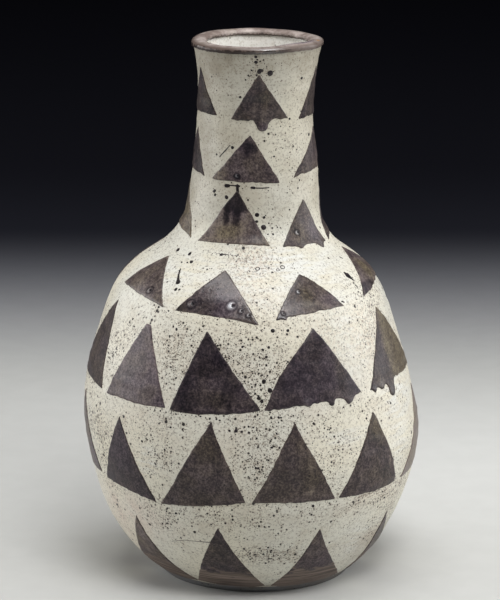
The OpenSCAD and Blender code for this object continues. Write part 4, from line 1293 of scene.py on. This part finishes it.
# One closed lens on the wall, with a wobbling edge
def makeSpot(at, level, width, tone, draw):
    sides, rings = spotForm["sides"], len(spotForm["rings"])
    around = fullTurn(sides)
    edge = 1 + spotForm["wobble"] * soften(draw.normal(size=sides), spotForm["wobbleReach"], wrap=True)
    broad, slant = draw.uniform(*spotForm["broad"]), draw.uniform(0, np.pi)
    rise = spotForm["least"] + spotForm["rise"] * width
    flat, lift = [], []
    for scale, share in spotForm["rings"]:
        reach = width / 2 * scale * edge
        u, v = reach * np.cos(around), broad * reach * np.sin(around)
        flat.append(np.column_stack((u * math.cos(slant) - v * math.sin(slant),
                                     u * math.sin(slant) + v * math.cos(slant))))
        lift.append(np.full(sides, share * (rise if share > 0 else spotForm["sunk"])))
    flat = np.vstack(flat + [np.zeros((2, 2))])
    lift = np.concatenate(lift + [(rise, -spotForm["sunk"])])
    height = wallHeight(wallLength(level) + flat[:, 1])
    points = onWall(math.radians(at) + flat[:, 0] / wallRadius(level), height, lift)
    rows = np.arange(sides * rings).reshape(rings, sides)
    faces = ringFaces(rows[:-1], rows[1:])
    last, top, bottom = rows[-1].tolist(), sides * rings, sides * rings + 1
    faces += [[last[k], last[(k + 1) % sides], top] for k in range(sides)]
    faces += [[(k + 1) % sides, k, bottom] for k in range(sides)]
    shades = {"tone": tone, **spotForm["shades"]}
    return points, faces, {label: np.full(len(points), value) for label, value in shades.items()}


# Outline of a brush stroke: up its right side, round its end, down its left side
def strokeLoop(line, middle):
    flat = flatten([(at, level) for at, level, width in line], middle)
    length = runLength(flat)
    marks = np.linspace(0, length[-1], max(int(length[-1] / strokeForm["edgeStep"]), strokeForm["fewest"]))
    path = stepAlong(flat, length, marks)
    half = np.interp(marks, length, [width / 2 for at, level, width in line])
    along = unit(np.gradient(path, axis=0))
    right = rightOf(along) * half[:, None]
    sweep = np.pi * np.arange(1, strokeForm["capPoints"]) / strokeForm["capPoints"]
    caps = [path[k] + np.outer(np.cos(sweep), right[k]) * side
            + np.outer(np.sin(sweep), along[k]) * half[k] * side for k, side in ((-1, 1), (0, -1))]
    loop = np.vstack((path + right, caps[0], (path - right)[::-1], caps[1]))
    return smoothLoop(evenLoop(loop, strokeForm["edgeStep"]), strokeForm["round"])


def addSpots():
    draw = np.random.default_rng(spotForm["seed"])
    front = len(creamForm["patches"])
    spots = spotForm["large"] + drawSpots(speckPatches[:front], spotForm["perPatch"], draw)
    spots += drawSpots(speckPatches[front:], spotForm["perFarPatch"], draw)
    for count, width, line in spotForm["trails"]:
        spots += followTrail(count, width, line, draw)
    lenses = [makeSpot(*spot, spotForm["tone"], draw) for spot in spots]
    for at, level, width in spotForm["bubbles"]:
        lenses += [makeSpot(*spot, spotForm["bubbleTone"], draw) for spot in drawBubble(at, level, width)]
    points, faces, shades = gather(lenses)
    addPiece("iron_spots", points, faces, iron, "iron_glaze", **shades)
    return len(lenses)


def addStrokes():
    waves = makeWaves(*strokeForm["strokeWaves"])
    pads = []
    for line in strokeForm["lines"]:
        middle = math.radians(line[0][0])
        pads.append(makePad(strokeLoop(line, middle), middle, strokeForm, strokeForm, waves))
    points, faces, shades = gather(pads)
    shades["edge"] += strokeForm["noRim"]
    weldSeams(addPiece("iron_strokes", points, faces, iron, "iron_glaze", **shades))
    return len(pads)


print("iron on the cream:", addSpots(), "spots and", addStrokes(), "strokes")


# Stage: a pale floor with painted shade that darkens it into the dark behind, large softboxes above and
# beside
stageForm = {
    "half": 8.0, "rough": 0.85, "paper": 40, "paperChange": (0.3, 0.7), "paperShade": 0.97,
    "pale": (0.620, 0.623, 0.603), "dim": (0.0150, 0.0155, 0.0185), "far": (0.0085, 0.0085, 0.0105),
    "paintedShadeFall": (0.20, 1.07), "paintedShadeFade": (0.9, 1.42),  # from pale to dim, and on to the far end
    "dusk": (0.97, 0.98, 1.10), "duskFall": (0.45, 1.0),  # and this much bluer on its way to the dark
    # painted shade: the floor is painted darker on the left and lighter on the right, as the light falls
    "side": (-0.2, 0.2), "leftShade": 0.92, "rightShade": 1.02,  # paler to the right,
    "even": (0.25, 0.6), "evenShade": 0.98,  # but not farther back
    "world": (0.02, 0.02, 0.021),
    "aim": (0, 0, 0.2),
}
lampForms = {
    "top": {"at": (0, -0.05, 2.3), "size": (1.6, 1.6), "power": 29.5},
    "front": {"at": (0.45, -1.2, 2.15), "size": (0.9, 0.7), "power": 20.2},
    "near": {"at": (1.3, -1.2, 1.6), "size": (1.0, 0.9), "power": 12},
    "right": {"at": (2.0, 0.35, 0.55), "size": (1.9, 1.5), "power": 26},
    "left": {"at": (-2.0, 0.35, 0.55), "size": (1.9, 1.5), "power": 34},
}


def makePaper():
    material, tree, shader = startMaterial("floor_paper")
    where = place(tree)
    ways = put(tree, "SeparateXYZ", {"Vector": where}).outputs
    back = ways["Y"]
    paper = spread(tree, grain(tree, where, stageForm["paper"]), *stageForm["paperChange"])
    pale = tint(tree, paper, stageForm["pale"], tuple(stageForm["paperShade"] * c for c in stageForm["pale"]))
    left, right, even = ((stageForm[label],) * 3 for label in ("leftShade", "rightShade", "evenShade"))
    # painted shade, darker to the left, fading out farther back
    shade = tint(tree, spread(tree, ways["X"], *stageForm["side"]), left, right)
    shade = tint(tree, spread(tree, back, *stageForm["even"]), shade, even)
    pale = tint(tree, 1.0, pale, shade, mode="MULTIPLY")
    dark = tint(tree, spread(tree, back, *stageForm["paintedShadeFade"]), stageForm["dim"], stageForm["far"])
    # painted shade: the floor's colour falls from pale to dark towards the back, standing in for light that
    # falls off
    colour = tint(tree, spread(tree, back, *stageForm["paintedShadeFall"]), pale, dark)
    blue = tint(tree, spread(tree, back, *stageForm["duskFall"]), (1.0, 1.0, 1.0), stageForm["dusk"])
    feed(tree, shader, {"Base Color": tint(tree, 1.0, colour, blue, mode="MULTIPLY")})
    shader.inputs["Roughness"].default_value = stageForm["rough"]
    shader.inputs["Specular IOR Level"].default_value = 0.0
    return material


def addFloor():
    half = stageForm["half"]
    corners = [(-half, -half, 0), (half, -half, 0), (half, half, 0), (-half, half, 0)]
    mesh = bpy.data.meshes.new("floor")
    mesh.from_pydata(corners, [], [(0, 1, 2, 3)])
    mesh.materials.append(makePaper())
    floor = bpy.data.objects.new("floor", mesh)
    bpy.context.scene.collection.objects.link(floor)


def addLamp(name, rules):
    lamp = bpy.data.lights.new(name + "_softbox", "AREA")
    lamp.shape = "RECTANGLE"
    lamp.size, lamp.size_y = rules["size"]
    lamp.energy = rules["power"]
    holder = bpy.data.objects.new(lamp.name, lamp)
    holder.location = rules["at"]
    holder.rotation_euler = (Vector(stageForm["aim"]) - holder.location).to_track_quat("-Z", "Y").to_euler()
    bpy.context.scene.collection.objects.link(holder)


def addWorld():
    world = bpy.data.worlds.new("studio")
    world.use_nodes = True
    world.node_tree.nodes["Background"].inputs["Color"].default_value = (*stageForm["world"], 1)
    bpy.context.scene.world = world


addFloor()
for name, rules in lampForms.items():
    addLamp(name, rules)
addWorld()

# Camera: a long lens from a little above
viewForm = {"away": 2.0, "tilt": 14.5, "aimHeight": 0.1937, "side": -0.0015, "lens": 203.9, "sensor": 36.0,
            "farthest": 50}


def addCamera():
    tilt = math.radians(viewForm["tilt"])
    camera = bpy.data.cameras.new("camera")
    camera.sensor_fit = "HORIZONTAL"
    camera.sensor_width = viewForm["sensor"]
    camera.lens = viewForm["lens"]
    camera.clip_end = viewForm["farthest"]
    holder = bpy.data.objects.new("camera", camera)
    holder.location = (viewForm["side"], -viewForm["away"] * math.cos(tilt),
                       viewForm["aimHeight"] + viewForm["away"] * math.sin(tilt))
    holder.rotation_euler = (math.pi / 2 - tilt, 0, 0)
    bpy.context.scene.collection.objects.link(holder)
    bpy.context.scene.camera = holder


addCamera()
bpy.context.scene.view_settings.view_transform = "Standard"
print("stage: floor,", len(lampForms), "lamps and camera")
